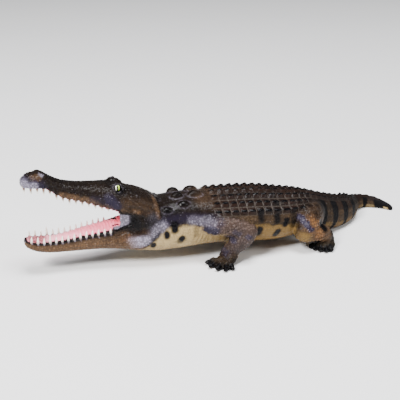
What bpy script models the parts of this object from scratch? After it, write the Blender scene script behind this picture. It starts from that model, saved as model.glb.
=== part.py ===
"""A moulded crocodile figure standing low on four sprawled legs, with its jaws wide open.

The crocodile faces -X, its right side is at +Y and the floor is at z = 0. Its own proportions are
shares of its length: one share is a five-hundredth of the way from snout to tail tip along the back.
"""

import math

import bmesh
import bpy
from mathutils import Matrix, Vector

FIGURE_LENGTH = 0.600  # snout to tail tip, along the back
SHARES_IN_LENGTH = 500
SHARE = FIGURE_LENGTH / SHARES_IN_LENGTH
SEAT_GAP = 0.0003  # clearance round an eye in its socket

# Stations from the back of the mouth to the tail tip, in shares:
# x, y, height of the centre, half width, half height
TRUNK = (
    (-100, 0, 56.0, 21.5, 31.3),
    (-93, 0, 54.0, 24.0, 32.4),
    (-84, 0, 51.4, 27.2, 33.2),
    (-74, 0, 47.6, 29.8, 33.0),
    (-62, 0, 43.4, 31.3, 30.8),
    (-50, 0, 41.4, 32.0, 29.4),
    (-33, 0, 42.2, 33.2, 29.8),
    (-5, 0, 42.6, 35.3, 28.6),
    (24, 0, 41.6, 37.8, 28.5),
    (54, 0, 39.7, 39.2, 28.7),
    (78, 0.6, 37.4, 38.0, 27.6),
    (97, 3.5, 35.8, 34.0, 25.4),
    (113, 7.5, 34.0, 29.5, 23.4),
    (128, 11.5, 30.2, 26.0, 22.0),
    (142, 15.0, 26.0, 22.8, 21.0),
    (156, 19.0, 22.0, 19.6, 20.2),
    (170, 24.0, 18.9, 16.8, 18.9),
    (183.5, 30.7, 16.4, 14.0, 16.8),
    (194, 38.2, 14.4, 11.8, 14.8),
    (202.5, 46.8, 12.6, 10.2, 13.0),
    (209.5, 56.3, 11.0, 8.8, 11.4),
    (217.5, 65.5, 9.4, 7.9, 9.8),
    (228.5, 71.5, 8.2, 7.4, 8.6),
    (239, 71.5, 7.2, 6.6, 7.6),
    (248.5, 66.5, 6.1, 5.6, 6.5),
    (256, 60.0, 4.8, 4.4, 5.2),
    (261, 53.0, 3.5, 3.2, 3.9),
    (263.2, 48.8, 2.4, 2.0, 2.5),
)
# Upper jaw and skull, in shares: x, half width, height of the lip, height of the top
SKULL = (
    (-197.5, 3.5, 98.5, 103.0),
    (-195.5, 7.5, 97.5, 106.0),
    (-191, 10.8, 96.5, 108.3),
    (-185.5, 12.3, 95.9, 110.2),
    (-179, 12.6, 95.2, 112.4),
    (-174.5, 11.4, 94.4, 110.6),
    (-169, 10.4, 91.6, 107.0),
    (-163, 10.8, 86.8, 103.2),
    (-156, 11.6, 82.8, 99.9),
    (-146, 12.8, 79.3, 97.2),
    (-135, 14.5, 76.2, 95.3),
    (-124, 17.0, 72.5, 94.0),
    (-113, 20.0, 68.4, 93.2),
    (-104, 23.0, 65.4, 92.0),
    (-95, 25.6, 62.0, 89.6),
    (-85, 28.0, 56.0, 86.0),
    (-73, 29.3, 50.0, 81.5),
    (-61, 28.0, 46.0, 75.6),
    (-50, 24.0, 44.0, 69.0),
)
# Lower jaw and throat, in shares: x, half width, height of the underside, height of the lip
JAW = (
    (-197, 4.0, 33.8, 38.4),
    (-195, 7.6, 30.5, 39.0),
    (-190, 11.0, 27.6, 38.7),
    (-183, 12.7, 25.0, 37.7),
    (-172, 13.2, 22.9, 37.0),
    (-160, 13.3, 22.0, 37.2),
    (-147, 14.2, 21.4, 38.8),
    (-135, 15.6, 21.1, 41.0),
    (-122, 17.3, 20.8, 43.2),
    (-109, 19.6, 19.9, 45.0),
    (-97, 22.6, 18.4, 47.0),
    (-85, 25.6, 16.4, 48.0),
    (-73, 27.0, 15.2, 47.0),
    (-62, 22.0, 20.0, 42.0),
)

# Left limbs, in shares: x, y, z, half width across the limb, half width along it
UPPER_ARM = (
    (-20, -18, 42, 11, 12),
    (-8, -27, 43.5, 12, 12.5),
    (10, -34, 42.5, 12, 12),
    (26, -40, 39, 11.2, 11.2),
    (36, -43, 34.5, 10.2, 9.6),
)
FOREARM = (
    (37.5, -43, 36.5, 9.8, 8.8),
    (32, -43, 30.2, 11.2, 10.2),
    (25.5, -41, 23.5, 11.4, 10.2),
    (19, -38, 15, 11.0, 8.6),
    (14, -40, 7.6, 11.0, 6.2),
    (9, -44, 4.6, 10.4, 5.6),
)
THIGH = (
    (134, 2, 32, 13, 14),
    (122, -14, 33.5, 15.5, 16.5),
    (112, -26, 30.5, 16.2, 17.4),
    (107, -35, 24.5, 14.0, 15.0),
)
SHANK = (
    (108, -37, 20, 9.4, 9.0),
    (119, -34.5, 19.2, 11.2, 10.8),
    (130, -31, 15.8, 11.4, 10.4),
    (135.5, -29.5, 9.0, 10.4, 8.2),
)
HIND_PALM = (
    (136.5, -28.0, 5.6, 8.6, 5.6),
    (132.5, -34.5, 5.4, 10.8, 6.4),
    (128.5, -41.0, 4.2, 10.2, 5.0),
)
FRONT_TOES = ((-10, -37), (-10, -48), (-5, -58), (3, -63.5), (12, -62))
HIND_TOES = ((114.5, -31.5), (116, -39), (120, -45.5), (126.5, -49.5), (133.5, -48.5))
FRONT_KNUCKLE = (12, -42, 6.5)
HIND_KNUCKLE = (129, -33, 6.2)
# A toe: share of the way from knuckle to tip, z, half width and half height, in shares
TOE_SHAPE = ((0.22, 3.7, 4.2, 3.9), (0.55, 3.6, 3.8, 3.9), (0.78, 2.9, 3.2, 3.2), (0.95, 1.9, 2.3, 2.0))
TOE_LIFT = (0.0, 0.45, 0.8, 0.5, 0.1)  # the arch of the foot, from its first toe to its fifth
# A far leg mirrors the near one about the line through these
BODY_MIDLINE_AT_SHOULDER = ((0, 0), (54, 0))
BODY_MIDLINE_AT_HIP = ((54, 0), (142, 15.0))

EYE_CENTRE = (-99.2, 10.8, 88.8)
EYE_RADIUS = 4.4
EYE_SEGMENTS = 12
BROW_CENTRE = (-99.0, 8.8, 87.6)
BROW_RADII = (9.5, 6.4, 6.2)
NOSTRIL_CENTRE = (-189.5, 4.2, 110.6)
NOSTRIL_RADIUS = 2.1
# Neck shields in shares: x, degrees round from the midline, half length, half width, height
NECK_SHIELDS = (
    (-57, 17, 4.4, 3.4, 1.8),
    (-49, 46, 6.4, 4.0, 2.6),
    (-34, 14, 7.0, 4.8, 5.2),
    (-30, 38, 6.8, 4.6, 3.6),
    (-14, 13, 8.4, 5.4, 5.4),
)

SCUTE_ROW_DEGREES = 17.5  # spacing of the rows of back plates, round the body
SCUTE_ROWS_A_SIDE = 4
SCUTE_HEIGHTS = (3.0, 3.2, 2.9, 2.2)  # from the midline outwards, in shares
FIRST_SCUTE, LAST_SCUTE = 0.255, 0.965  # shares of the way from mouth to tail tip
SCUTE_PITCH = 9.4
SCUTE_PEAK = 0.62  # where a plate's keel is highest, as a share of the pitch
UNDERSIDE_DEGREES = (95, 133)  # columns below the plates, from the top
BACK_POWER, BELLY_POWER = 2.15, 2.35  # squareness of the trunk above and below its middle
ROWS_END, ROWS_CLOSING = 0.74, 0.08  # shares of the way: where the rows start to sink, and over how much
# The tail's one crest: share of the way, height in shares
CREST = (
    (0.70, 0.0), (0.725, 3.6), (0.749, 4.8), (0.772, 0.9),
    (0.796, 3.0), (0.844, 2.0), (0.892, 0.9), (0.97, 0.6),
)
NECK_SECTIONS = 7
TAIL_TIP_SECTIONS = (0.978, 0.992, 1.0)  # shares of the way
THROAT_DEPTH = 13.0  # how far the back wall of the mouth is set in behind the cheeks
TOOTH_SPACING = 6.4
UPPER_TEETH, LOWER_TEETH = (-194.5, -111), (-190.5, -109)  # x of the first and the last tooth
TOOTH_LENGTHS = (5.0, 5.6, 4.6, 7.4, 5.2, 6.2)  # repeated along a row
TOOTH_RADIUS = 1.25
TOOTH_ROOT = 2.6  # depth of a root in the gum
TOOTH_INSET = 1.9  # from the side of the jaw to the middle of a tooth
TOOTH_LEAN = (-0.05, 0.16)  # forwards and outwards, for each unit up or down
LIP_POWER = 5.0  # squareness of a jaw on its lip side
SKULL_POWER, CHIN_POWER = 2.2, 2.3  # squareness of the jaws on their other side

# Sections along a form, and points round each
SKULL_SECTIONS, SKULL_COLUMNS = 21, 16
JAW_SECTIONS, JAW_COLUMNS = 16, 14
LIMB_SECTIONS, LIMB_COLUMNS = 5, 10
TOE_SECTIONS, TOE_COLUMNS = 3, 6
CAP_SIZE, CAP_LENGTH = 0.62, 0.5  # a limb's rounded end, as shares of its last section
BROW_TILT = math.radians(9)
BROW_SEGMENTS, SHIELD_SEGMENTS, NOSTRIL_SEGMENTS, TOOTH_SIDES = 12, 8, 8, 5

FIGURE = "crocodile_sculpture"


def clear_scene():
    for thing in list(bpy.data.objects):
        bpy.data.objects.remove(thing)


def material(name, colour, roughness, metallic=0.0):
    made = bpy.data.materials.new(name)
    made.use_nodes = True
    shader = made.node_tree.nodes["Principled BSDF"]
    shader.inputs["Base Color"].default_value = (*colour, 1.0)
    shader.inputs["Roughness"].default_value = roughness
    shader.inputs["Metallic"].default_value = metallic
    made.diffuse_color = (*colour, 1.0)
    return made


def collection(name):
    made = bpy.data.collections.new(name)
    bpy.context.scene.collection.children.link(made)
    return made


def along(stations, reach):
    """Values at a share (0 to 1) of the way along stations: a cubic curve through all of them."""
    marks = [0.0]
    for before, after in zip(stations, stations[1:]):
        marks.append(marks[-1] + math.dist(before[:2], after[:2]))
    target = reach * marks[-1]
    i = max(k for k in range(len(stations) - 1) if k == 0 or marks[k] <= target)
    span = marks[i + 1] - marks[i]
    t = (target - marks[i]) / span

    def slope(k, part):
        low, high = max(k - 1, 0), min(k + 1, len(stations) - 1)
        return (stations[high][part] - stations[low][part]) / (marks[high] - marks[low]) * span

    values = []
    for part in range(len(stations[0])):
        start, end = stations[i][part], stations[i + 1][part]
        rise, fall = slope(i, part), slope(i + 1, part)
        values.append(
            (2 * t**3 - 3 * t**2 + 1) * start + (t**3 - 2 * t**2 + t) * rise
            + (3 * t**2 - 2 * t**3) * end + (t**3 - t**2) * fall
        )
    return values


def direction(stations, reach, step, parts):
    """The way that the first few parts of the stations run, at a share of the way along."""
    ahead = along(stations, min(reach + step, 1.0))[:parts]
    behind = along(stations, max(reach - step, 0.0))[:parts]
    return (Vector(ahead) - Vector(behind)).normalized()


def path_length(stations):
    return sum(math.dist(a[:2], b[:2]) for a, b in zip(stations, stations[1:]))


def loft(name, rings, home, hollow=0.0):
    """One closed skin over a row of rings, closed by a point at both ends; the first may be set in."""
    bm = bmesh.new()
    loops = [[bm.verts.new(point * SHARE) for point in ring] for ring in rings]
    for near, far in zip(loops, loops[1:]):
        for k in range(len(near)):
            after = (k + 1) % len(near)
            bm.faces.new((near[k], near[after], far[after], far[k]))
    for loop, set_in in ((loops[0], hollow), (loops[-1], 0.0)):
        centre = sum((corner.co for corner in loop), Vector()) / len(loop)
        middle = bm.verts.new(centre + Vector((set_in * SHARE, 0, 0)))
        for k in range(len(loop)):
            bm.faces.new((loop[k], loop[(k + 1) % len(loop)], middle))
    bmesh.ops.recalc_face_normals(bm, faces=bm.faces)
    return object_of(name, bm, home)


def object_of(name, bm, home):
    mesh = bpy.data.meshes.new(name)
    bm.to_mesh(mesh)
    bm.free()
    mesh.shade_smooth()
    mesh.set_sharp_from_angle(angle=math.radians(24))
    made = bpy.data.objects.new(name, mesh)
    home.objects.link(made)
    made.parent = figure_root
    return made


def squared(angle, power):
    """A point of the rounded square of this power, as (sideways, up), at an angle from straight up."""
    side, up = math.sin(angle), math.cos(angle)
    size = (abs(side) ** power + abs(up) ** power) ** (-1 / power)
    return size * side, size * up


def trunk_columns():
    """Columns round the trunk: half rows out from the midline (none below the plates), and degrees."""
    half = [(k, SCUTE_ROW_DEGREES / 2 * k) for k in range(1, 2 * SCUTE_ROWS_A_SIDE + 1)]
    half += [(None, angle) for angle in UNDERSIDE_DEGREES]
    return [(0, 0), *half, (None, 180), *[(k, -angle) for k, angle in reversed(half)]]


def crest_height(reach):
    for (start, low), (end, high) in zip(CREST, CREST[1:]):
        if start <= reach <= end:
            return low + (high - low) * (reach - start) / (end - start)
    return 0.0


def scute_height(reach, half_rows):
    """Height of a back plate's keel, where the half rows are odd, or of the tail's crest at the midline."""
    if half_rows is None or not FIRST_SCUTE <= reach <= LAST_SCUTE:
        return 0.0
    if half_rows == 0:
        return crest_height(reach)
    if half_rows % 2 == 0:
        return 0.0
    closing = min(1.0, max(0.0, (reach - ROWS_END) / ROWS_CLOSING))
    return (1.0 - closing) * SCUTE_HEIGHTS[half_rows // 2]


def trunk_ring(reach, on_peak):
    x, y, z, half_width, half_height = along(TRUNK, reach)
    heading = direction(TRUNK, reach, 0.004, 2).to_3d()
    right = Vector((-heading.y, heading.x, 0))
    ring = []
    for half_rows, degrees in trunk_columns():
        angle = math.radians(degrees)
        side, up = squared(angle, BACK_POWER if math.cos(angle) > 0 else BELLY_POWER)
        raised = scute_height(reach, half_rows) if on_peak else 0.0
        side_reach, up_reach = half_width * side, half_height * up
        out = Vector((side_reach, up_reach)).normalized() * raised
        ring.append(Vector((x, y, z)) + right * (side_reach + out.x) + Vector((0, 0, up_reach + out.y)))
    return ring


def make_trunk(home):
    total = path_length(TRUNK)
    first_plate = FIRST_SCUTE * total
    rings = [trunk_ring(first_plate * k / NECK_SECTIONS / total, False) for k in range(NECK_SECTIONS)]
    place = first_plate
    while place < LAST_SCUTE * total:
        rings.append(trunk_ring(place / total, False))
        rings.append(trunk_ring((place + SCUTE_PEAK * SCUTE_PITCH) / total, True))
        place += SCUTE_PITCH
    rings += [trunk_ring(reach, False) for reach in TAIL_TIP_SECTIONS]
    return loft("body", rings, home, hollow=THROAT_DEPTH)


def jaw_ring(x, half_width, low, high, low_power, high_power, columns):
    """A section across a jaw: the lip side is squarer than the other."""
    ring = []
    for k in range(columns):
        angle = 2 * math.pi * k / columns
        side, up = squared(angle, high_power if math.cos(angle) > 0 else low_power)
        ring.append(Vector((x, half_width * side, (low + high) / 2 + (high - low) / 2 * up)))
    return ring


def make_skull(home):
    rings = []
    for k in range(SKULL_SECTIONS + 1):
        x, half_width, lip, top = along(SKULL, k / SKULL_SECTIONS)
        rings.append(jaw_ring(x, half_width, lip, top, LIP_POWER, SKULL_POWER, SKULL_COLUMNS))
    return loft("skull", rings, home)


def make_lower_jaw(home):
    rings = []
    for k in range(JAW_SECTIONS + 1):
        x, half_width, underside, lip = along(JAW, k / JAW_SECTIONS)
        rings.append(jaw_ring(x, half_width, underside, lip, CHIN_POWER, LIP_POWER, JAW_COLUMNS))
    return loft("lower_jaw", rings, home)


def limb_rings(stations, count, columns):
    """Rings square to a path through the stations, with the last two drawn in to round the end."""
    rings = []
    for k in range(count + 1):
        reach = k / count
        x, y, z, across, along_limb = along(stations, reach)
        tangent = direction(stations, reach, 0.02, 3)
        side = tangent.cross(Vector((0, 0, 1))).normalized()
        over = side.cross(tangent)
        ring = []
        for c in range(columns):
            angle = 2 * math.pi * c / columns
            spoke = side * across * math.cos(angle) + over * along_limb * math.sin(angle)
            ring.append(Vector((x, y, z)) + spoke)
        rings.append(ring)
    for end, inner in ((0, rings[1]), (-1, rings[-2])):
        rim = rings[end]
        middle = sum(rim, Vector()) / columns
        outwards = (middle - sum(inner, Vector()) / columns).normalized()
        size = (rim[0] - middle).length
        cap = [middle + (point - middle) * CAP_SIZE + outwards * size * CAP_LENGTH for point in rim]
        rings = [cap, *rings] if end == 0 else [*rings, cap]
    return rings


def mirrored(points, about):
    """Rings or points mirrored in the upright plane through two plan points."""
    start = Vector((*about[0], 0))
    line = (Vector((*about[1], 0)) - start).normalized()
    across = Vector((-line.y, line.x, 0))
    return [point - 2 * across * (point - start).dot(across) for point in points]


def toe_stations(knuckle, tip, lift):
    """From the knuckle out to the end of a toe: x, y, z, half width, half height."""
    root = Vector(knuckle[:2])
    reach = Vector(tip) - root
    return [(*(root + reach * share), z + lift, wide, high) for share, z, wide, high in TOE_SHAPE]


def make_leg(name, limbs, knuckle, toes, about, home):
    """A leg's two limbs and its toes, on the left, or mirrored about a line to the right."""
    pieces = [(f"{name}_{part}", limb_rings(spots, LIMB_SECTIONS, LIMB_COLUMNS)) for part, spots in limbs]
    for number, (tip, lift) in enumerate(zip(toes, TOE_LIFT), 1):
        rings = limb_rings(toe_stations(knuckle, tip, lift), TOE_SECTIONS, TOE_COLUMNS)
        pieces.append((f"{name}_toe_{number}", rings))
    for piece, rings in pieces:
        if about:
            rings = [mirrored(ring, about) for ring in rings]
        loft(piece, rings, home)


def mound(name, centre, radii, turn, segments, home):
    """An ellipsoid with its centre in shares and its radii in metres, turned by a matrix."""
    bm = bmesh.new()
    bmesh.ops.create_uvsphere(bm, u_segments=segments, v_segments=segments // 2 + 1, radius=1.0)
    place = Matrix.Translation(Vector(centre) * SHARE) @ turn.to_4x4() @ Matrix.Diagonal((*radii, 1))
    bmesh.ops.transform(bm, matrix=place, verts=bm.verts)
    return object_of(name, bm, home)


def ball(name, centre, radius, segments, home):
    return mound(name, centre, (radius, radius, radius), Matrix.Identity(3), segments, home)


def on_side(point, side):
    return point[0], point[1] * side, point[2]


def make_neck_shields(home):
    total = path_length(TRUNK)
    for number, (x, degrees, half_length, half_width, height) in enumerate(NECK_SHIELDS):
        for side in (-1, 1):
            _, _, z, wide, high = along(TRUNK, (x - TRUNK[0][0]) / total)
            angle = math.radians(degrees) * side
            spot = (x, wide * math.sin(angle), z + high * math.cos(angle))
            turn = Matrix.Rotation(-angle, 3, "X")
            radii = Vector((half_length, half_width, height)) * SHARE
            mound(f"neck_shield_{number}_{side}", spot, radii, turn, SHIELD_SEGMENTS, home)


def make_brows(home):
    tilt = Matrix.Rotation(BROW_TILT, 3, "Y")
    for side in (-1, 1):
        centre = on_side(BROW_CENTRE, side)
        mound(f"brow_{side}", centre, Vector(BROW_RADII) * SHARE, tilt, BROW_SEGMENTS, home)


def tooth(name, base, lean, length, home):
    """A slender cone whose root is sunk in the lip."""
    points = Vector(lean).normalized()
    depth = length + TOOTH_ROOT
    wide = TOOTH_RADIUS * SHARE
    bm = bmesh.new()
    bmesh.ops.create_cone(
        bm, cap_ends=True, segments=TOOTH_SIDES, radius1=wide, radius2=0.0, depth=depth * SHARE
    )
    turn = Vector((0, 0, 1)).rotation_difference(points).to_matrix().to_4x4()
    middle = Vector(base) + points * (depth / 2 - TOOTH_ROOT)
    bmesh.ops.transform(bm, matrix=Matrix.Translation(middle * SHARE) @ turn, verts=bm.verts)
    return object_of(name, bm, home)


def make_teeth(home):
    rows = (("upper", SKULL, UPPER_TEETH, -1), ("lower", JAW, LOWER_TEETH, 1))
    for row, stations, (first, last), way in rows:
        count = round((last - first) / TOOTH_SPACING)
        for number in range(count + 1):
            x = first + (last - first) * number / count
            _, half_width, low, high = along(stations, reach_at_x(stations, x))
            inset = half_width - TOOTH_INSET
            curve = (1 - (inset / half_width) ** LIP_POWER) ** (1 / LIP_POWER)
            lip = (low + high) / 2 + way * (high - low) / 2 * curve
            length = TOOTH_LENGTHS[number % len(TOOTH_LENGTHS)]
            for side in (-1, 1):
                base = (x, side * inset, lip)
                lean = (TOOTH_LEAN[0], TOOTH_LEAN[1] * side, way)
                tooth(f"{row}_tooth_{number}_{side}", base, lean, length, home)


def reach_at_x(stations, x):
    """How far along the stations an x lies, by halving."""
    low, high = 0.0, 1.0
    for _ in range(30):
        middle = (low + high) / 2
        if along(stations, middle)[0] < x:
            low = middle
        else:
            high = middle
    return (low + high) / 2


def make_eye(name, side, shade, home):
    eye = ball(name, on_side(EYE_CENTRE, side), EYE_RADIUS * SHARE, EYE_SEGMENTS, home)
    eye.data.materials.append(shade)
    return eye


def make_cutters(home):
    for side in (-1, 1):
        socket = EYE_RADIUS * SHARE + SEAT_GAP
        ball(f"socket_{side}", on_side(EYE_CENTRE, side), socket, EYE_SEGMENTS, home)
        nostril = on_side(NOSTRIL_CENTRE, side)
        ball(f"nostril_{side}", nostril, NOSTRIL_RADIUS * SHARE, NOSTRIL_SEGMENTS, home)
    bm = bmesh.new()
    bmesh.ops.create_cube(bm, size=1.0)
    wide = 4 * FIGURE_LENGTH
    floor = Matrix.Translation((0, 0, -0.5)) @ Matrix.Diagonal((wide, wide, 1, 1))
    bmesh.ops.transform(bm, matrix=floor, verts=bm.verts)
    object_of("floor_cut", bm, home)


def hide_helpers(home):
    home.hide_render = True
    for helper in home.objects:
        helper.hide_render = True
        helper.display_type = "WIRE"


def combine(body, operation, operands):
    joining = body.modifiers.new(operation.lower(), "BOOLEAN")
    joining.operation = operation
    joining.operand_type = "COLLECTION"
    joining.collection = operands
    joining.solver = "EXACT"


def centre_on_floor(objects):
    """Moves the figure so that the middle of its box's underside is the origin."""
    bpy.context.view_layer.update()
    graph = bpy.context.evaluated_depsgraph_get()
    corners = []
    for thing in objects:
        evaluated = thing.evaluated_get(graph)
        mesh = evaluated.to_mesh()
        corners += [evaluated.matrix_world @ vertex.co for vertex in mesh.vertices]
        evaluated.to_mesh_clear()
    middle = [(min(c[i] for c in corners) + max(c[i] for c in corners)) / 2 for i in range(2)]
    figure_root.location = (-middle[0], -middle[1], -min(c.z for c in corners))


clear_scene()
figure_root = bpy.data.objects.new("figure_root", None)
bpy.context.scene.collection.objects.link(figure_root)
parts = collection(FIGURE)
forms = collection("body_forms")
cutters = collection("body_cutters")

body = make_trunk(parts)
body.data.materials.append(material("painted_vinyl", (0.055, 0.042, 0.035), 0.35))
make_skull(forms)
make_lower_jaw(forms)
make_brows(forms)
make_neck_shields(forms)
make_teeth(forms)
arm = (("upper_arm", UPPER_ARM), ("forearm", FOREARM))
hind = (("thigh", THIGH), ("shank", SHANK), ("palm", HIND_PALM))
for side_name, at_shoulder, at_hip in (
    ("left", None, None),
    ("right", BODY_MIDLINE_AT_SHOULDER, BODY_MIDLINE_AT_HIP),
):
    make_leg(f"front_{side_name}", arm, FRONT_KNUCKLE, FRONT_TOES, at_shoulder, forms)
    make_leg(f"hind_{side_name}", hind, HIND_KNUCKLE, HIND_TOES, at_hip, forms)
make_cutters(cutters)
combine(body, "UNION", forms)
combine(body, "DIFFERENCE", cutters)
hide_helpers(forms)
hide_helpers(cutters)

eye_plastic = material("eye_plastic", (0.62, 0.68, 0.05), 0.08)
eyes = [make_eye("eye_left", -1, eye_plastic, parts), make_eye("eye_right", 1, eye_plastic, parts)]
centre_on_floor([body, *eyes])
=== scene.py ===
# %% [markdown]
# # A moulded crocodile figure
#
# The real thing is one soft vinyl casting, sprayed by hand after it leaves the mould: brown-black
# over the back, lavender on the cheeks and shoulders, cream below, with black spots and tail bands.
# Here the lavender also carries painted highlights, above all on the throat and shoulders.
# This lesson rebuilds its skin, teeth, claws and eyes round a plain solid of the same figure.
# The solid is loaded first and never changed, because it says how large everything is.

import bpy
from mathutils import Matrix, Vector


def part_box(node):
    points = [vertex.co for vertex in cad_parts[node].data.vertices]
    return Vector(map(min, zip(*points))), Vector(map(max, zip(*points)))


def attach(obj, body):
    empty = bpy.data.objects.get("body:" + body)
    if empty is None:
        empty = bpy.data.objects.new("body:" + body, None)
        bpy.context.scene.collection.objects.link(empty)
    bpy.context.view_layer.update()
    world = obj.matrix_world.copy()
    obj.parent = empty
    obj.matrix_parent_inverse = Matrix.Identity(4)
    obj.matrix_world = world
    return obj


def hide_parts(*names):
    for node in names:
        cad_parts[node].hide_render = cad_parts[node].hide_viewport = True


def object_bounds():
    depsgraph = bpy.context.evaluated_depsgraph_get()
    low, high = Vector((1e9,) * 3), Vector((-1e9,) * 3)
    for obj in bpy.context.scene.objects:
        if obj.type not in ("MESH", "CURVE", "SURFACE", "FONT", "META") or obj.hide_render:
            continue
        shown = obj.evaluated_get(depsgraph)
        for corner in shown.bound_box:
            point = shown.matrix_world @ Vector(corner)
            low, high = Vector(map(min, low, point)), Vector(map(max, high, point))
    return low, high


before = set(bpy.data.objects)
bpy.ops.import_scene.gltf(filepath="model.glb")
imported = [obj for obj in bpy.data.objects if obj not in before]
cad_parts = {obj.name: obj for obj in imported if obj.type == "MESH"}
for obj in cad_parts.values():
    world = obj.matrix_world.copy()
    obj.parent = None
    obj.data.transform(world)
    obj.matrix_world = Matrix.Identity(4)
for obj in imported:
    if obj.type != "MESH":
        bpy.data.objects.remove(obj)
cad_low, cad_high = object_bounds()
print("solid, in metres:", [round(high - low, 4) for low, high in zip(cad_low, cad_high)])

# %% [markdown]
# Everything below is drawn in shares. One share is a five-hundredth of the way from snout to tail
# tip, so the figure could be made at another size by changing the solid alone. The eyes are the
# best marks for lining the two up: their middles are known in shares, and in metres on the solid.

# %% Shares and axes
import itertools
import math

import bmesh
import bpy
import numpy as np
from mathutils import Matrix, Vector

SNOUT_TO_TAIL_BEND = 462.5  # shares, along the solid's box
EYE_CENTRE = (-99.2, 10.8, 88.8)
EYE_RADIUS = 4.4

body_low, body_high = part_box("body")
SHARE = (body_high.x - body_low.x) / SNOUT_TO_TAIL_BEND
eye_middles = [sum(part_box(name), Vector()) / 2 for name in ("eye_left", "eye_right")]
ORIGIN = Vector((
    eye_middles[0].x - EYE_CENTRE[0] * SHARE,
    (eye_middles[0].y + eye_middles[1].y) / 2,
    body_low.z,
))
print(f"one share is {SHARE * 1000:.3f} mm")


def in_metres(points):
    return np.asarray(points) * SHARE + np.array(ORIGIN)


def in_shares(points):
    return (np.asarray(points) - np.array(ORIGIN)) / SHARE


# %% [markdown]
# A long soft form is easiest to describe by stations: a few places along it, with its width and
# height at each. A smooth curve through the stations then gives a section anywhere between them.
# The crocodile looks along -X, its right side is at +Y, and the floor is at z = 0.

# %% Stations of the trunk, head and limbs
# x, y, height of the centre, half width, half height
TRUNK = (
    (-100, 0, 56.0, 21.5, 31.3),
    (-93, 0, 54.0, 24.0, 32.4),
    (-84, 0, 51.4, 27.2, 33.2),
    (-74, 0, 47.6, 29.8, 33.0),
    (-62, 0, 43.4, 31.3, 30.8),
    (-50, 0, 41.4, 32.0, 29.4),
    (-33, 0, 42.2, 33.2, 29.8),
    (-5, 0, 42.6, 35.3, 28.6),
    (24, 0, 41.6, 37.8, 28.5),
    (54, 0, 39.7, 39.2, 28.7),
    (78, 0.6, 37.4, 38.0, 27.6),
    (97, 3.5, 35.8, 34.0, 25.4),
    (113, 7.5, 34.0, 29.5, 23.4),
    (128, 11.5, 30.2, 26.0, 22.0),
    (142, 15.0, 26.0, 22.8, 21.0),
    (156, 19.0, 22.0, 19.6, 20.2),
    (170, 24.0, 18.9, 16.8, 18.9),
    (183.5, 30.7, 16.4, 14.0, 16.8),
    (194, 38.2, 14.4, 11.8, 14.8),
    (202.5, 46.8, 12.6, 10.2, 13.0),
    (209.5, 56.3, 11.0, 8.8, 11.4),
    (217.5, 65.5, 9.4, 7.9, 9.8),
    (228.5, 71.5, 8.2, 7.4, 8.6),
    (239, 71.5, 7.2, 6.6, 7.6),
    (248.5, 66.5, 6.1, 5.6, 6.5),
    (256, 60.0, 4.8, 4.4, 5.2),
    (261, 53.0, 3.5, 3.2, 3.9),
    (263.2, 48.8, 2.4, 2.0, 2.5),
)
# x, half width, height of the lip, height of the top
SKULL = (
    (-197.5, 3.5, 98.5, 103.0),
    (-195.5, 7.5, 97.5, 106.0),
    (-191, 10.8, 96.5, 108.3),
    (-185.5, 12.3, 95.9, 110.2),
    (-179, 12.6, 95.2, 112.4),
    (-174.5, 11.4, 94.4, 110.6),
    (-169, 10.4, 91.6, 107.0),
    (-163, 10.8, 86.8, 103.2),
    (-156, 11.6, 82.8, 99.9),
    (-146, 12.8, 79.3, 97.2),
    (-135, 14.5, 76.2, 95.3),
    (-124, 17.0, 72.5, 94.0),
    (-113, 20.0, 68.4, 93.2),
    (-104, 23.0, 65.4, 92.0),
    (-95, 25.6, 62.0, 89.6),
    (-85, 28.0, 56.0, 86.0),
    (-73, 29.3, 50.0, 81.5),
    (-61, 28.0, 46.0, 75.6),
    (-50, 24.0, 44.0, 69.0),
)
# x, half width, height of the underside, height of the lip
JAW = (
    (-197, 4.0, 33.8, 38.4),
    (-195, 7.6, 30.5, 39.0),
    (-190, 11.0, 27.6, 38.7),
    (-183, 12.7, 25.0, 37.7),
    (-172, 13.2, 22.9, 37.0),
    (-160, 13.3, 22.0, 37.2),
    (-147, 14.2, 21.4, 38.8),
    (-135, 15.6, 21.1, 41.0),
    (-122, 17.3, 20.8, 43.2),
    (-109, 19.6, 19.9, 45.0),
    (-97, 22.6, 18.4, 47.0),
    (-85, 25.6, 16.4, 48.0),
    (-73, 27.0, 15.2, 47.0),
    (-62, 22.0, 20.0, 42.0),
)
# Left limbs: x, y, z, half width across the limb, half width along it
UPPER_ARM = (
    (-20, -18, 42, 11, 12),
    (-8, -27, 43.5, 12, 12.5),
    (10, -34, 42.5, 12, 12),
    (26, -40, 39, 11.2, 11.2),
    (36, -43, 34.5, 10.2, 9.6),
)
FOREARM = (
    (37.5, -43, 36.5, 9.8, 8.8),
    (32, -43, 30.2, 11.2, 10.2),
    (25.5, -41, 23.5, 11.4, 10.2),
    (19, -38, 15, 11.0, 8.6),
    (14, -40, 7.6, 11.0, 6.2),
    (9, -44, 4.6, 10.4, 5.6),
)
THIGH = (
    (134, 2, 32, 13, 14),
    (122, -14, 33.5, 15.5, 16.5),
    (112, -26, 30.5, 16.2, 17.4),
    (107, -35, 24.5, 14.0, 15.0),
)
SHANK = (
    (108, -37, 20, 9.4, 9.0),
    (119, -34.5, 19.2, 11.2, 10.8),
    (130, -31, 15.8, 11.4, 10.4),
    (135.5, -29.5, 9.0, 10.4, 8.2),
)
HIND_PALM = (
    (136.5, -28.0, 5.6, 8.6, 5.6),
    (132.5, -34.5, 5.4, 10.8, 6.4),
    (128.5, -41.0, 4.2, 10.2, 5.0),
)
FRONT_TOES = ((-10, -37), (-10, -48), (-5, -58), (3, -63.5), (12, -62))
HIND_TOES = ((114.5, -31.5), (116, -39), (120, -45.5), (126.5, -49.5), (133.5, -48.5))
FRONT_KNUCKLE = (12, -42)
HIND_KNUCKLE = (129, -33)
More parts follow.
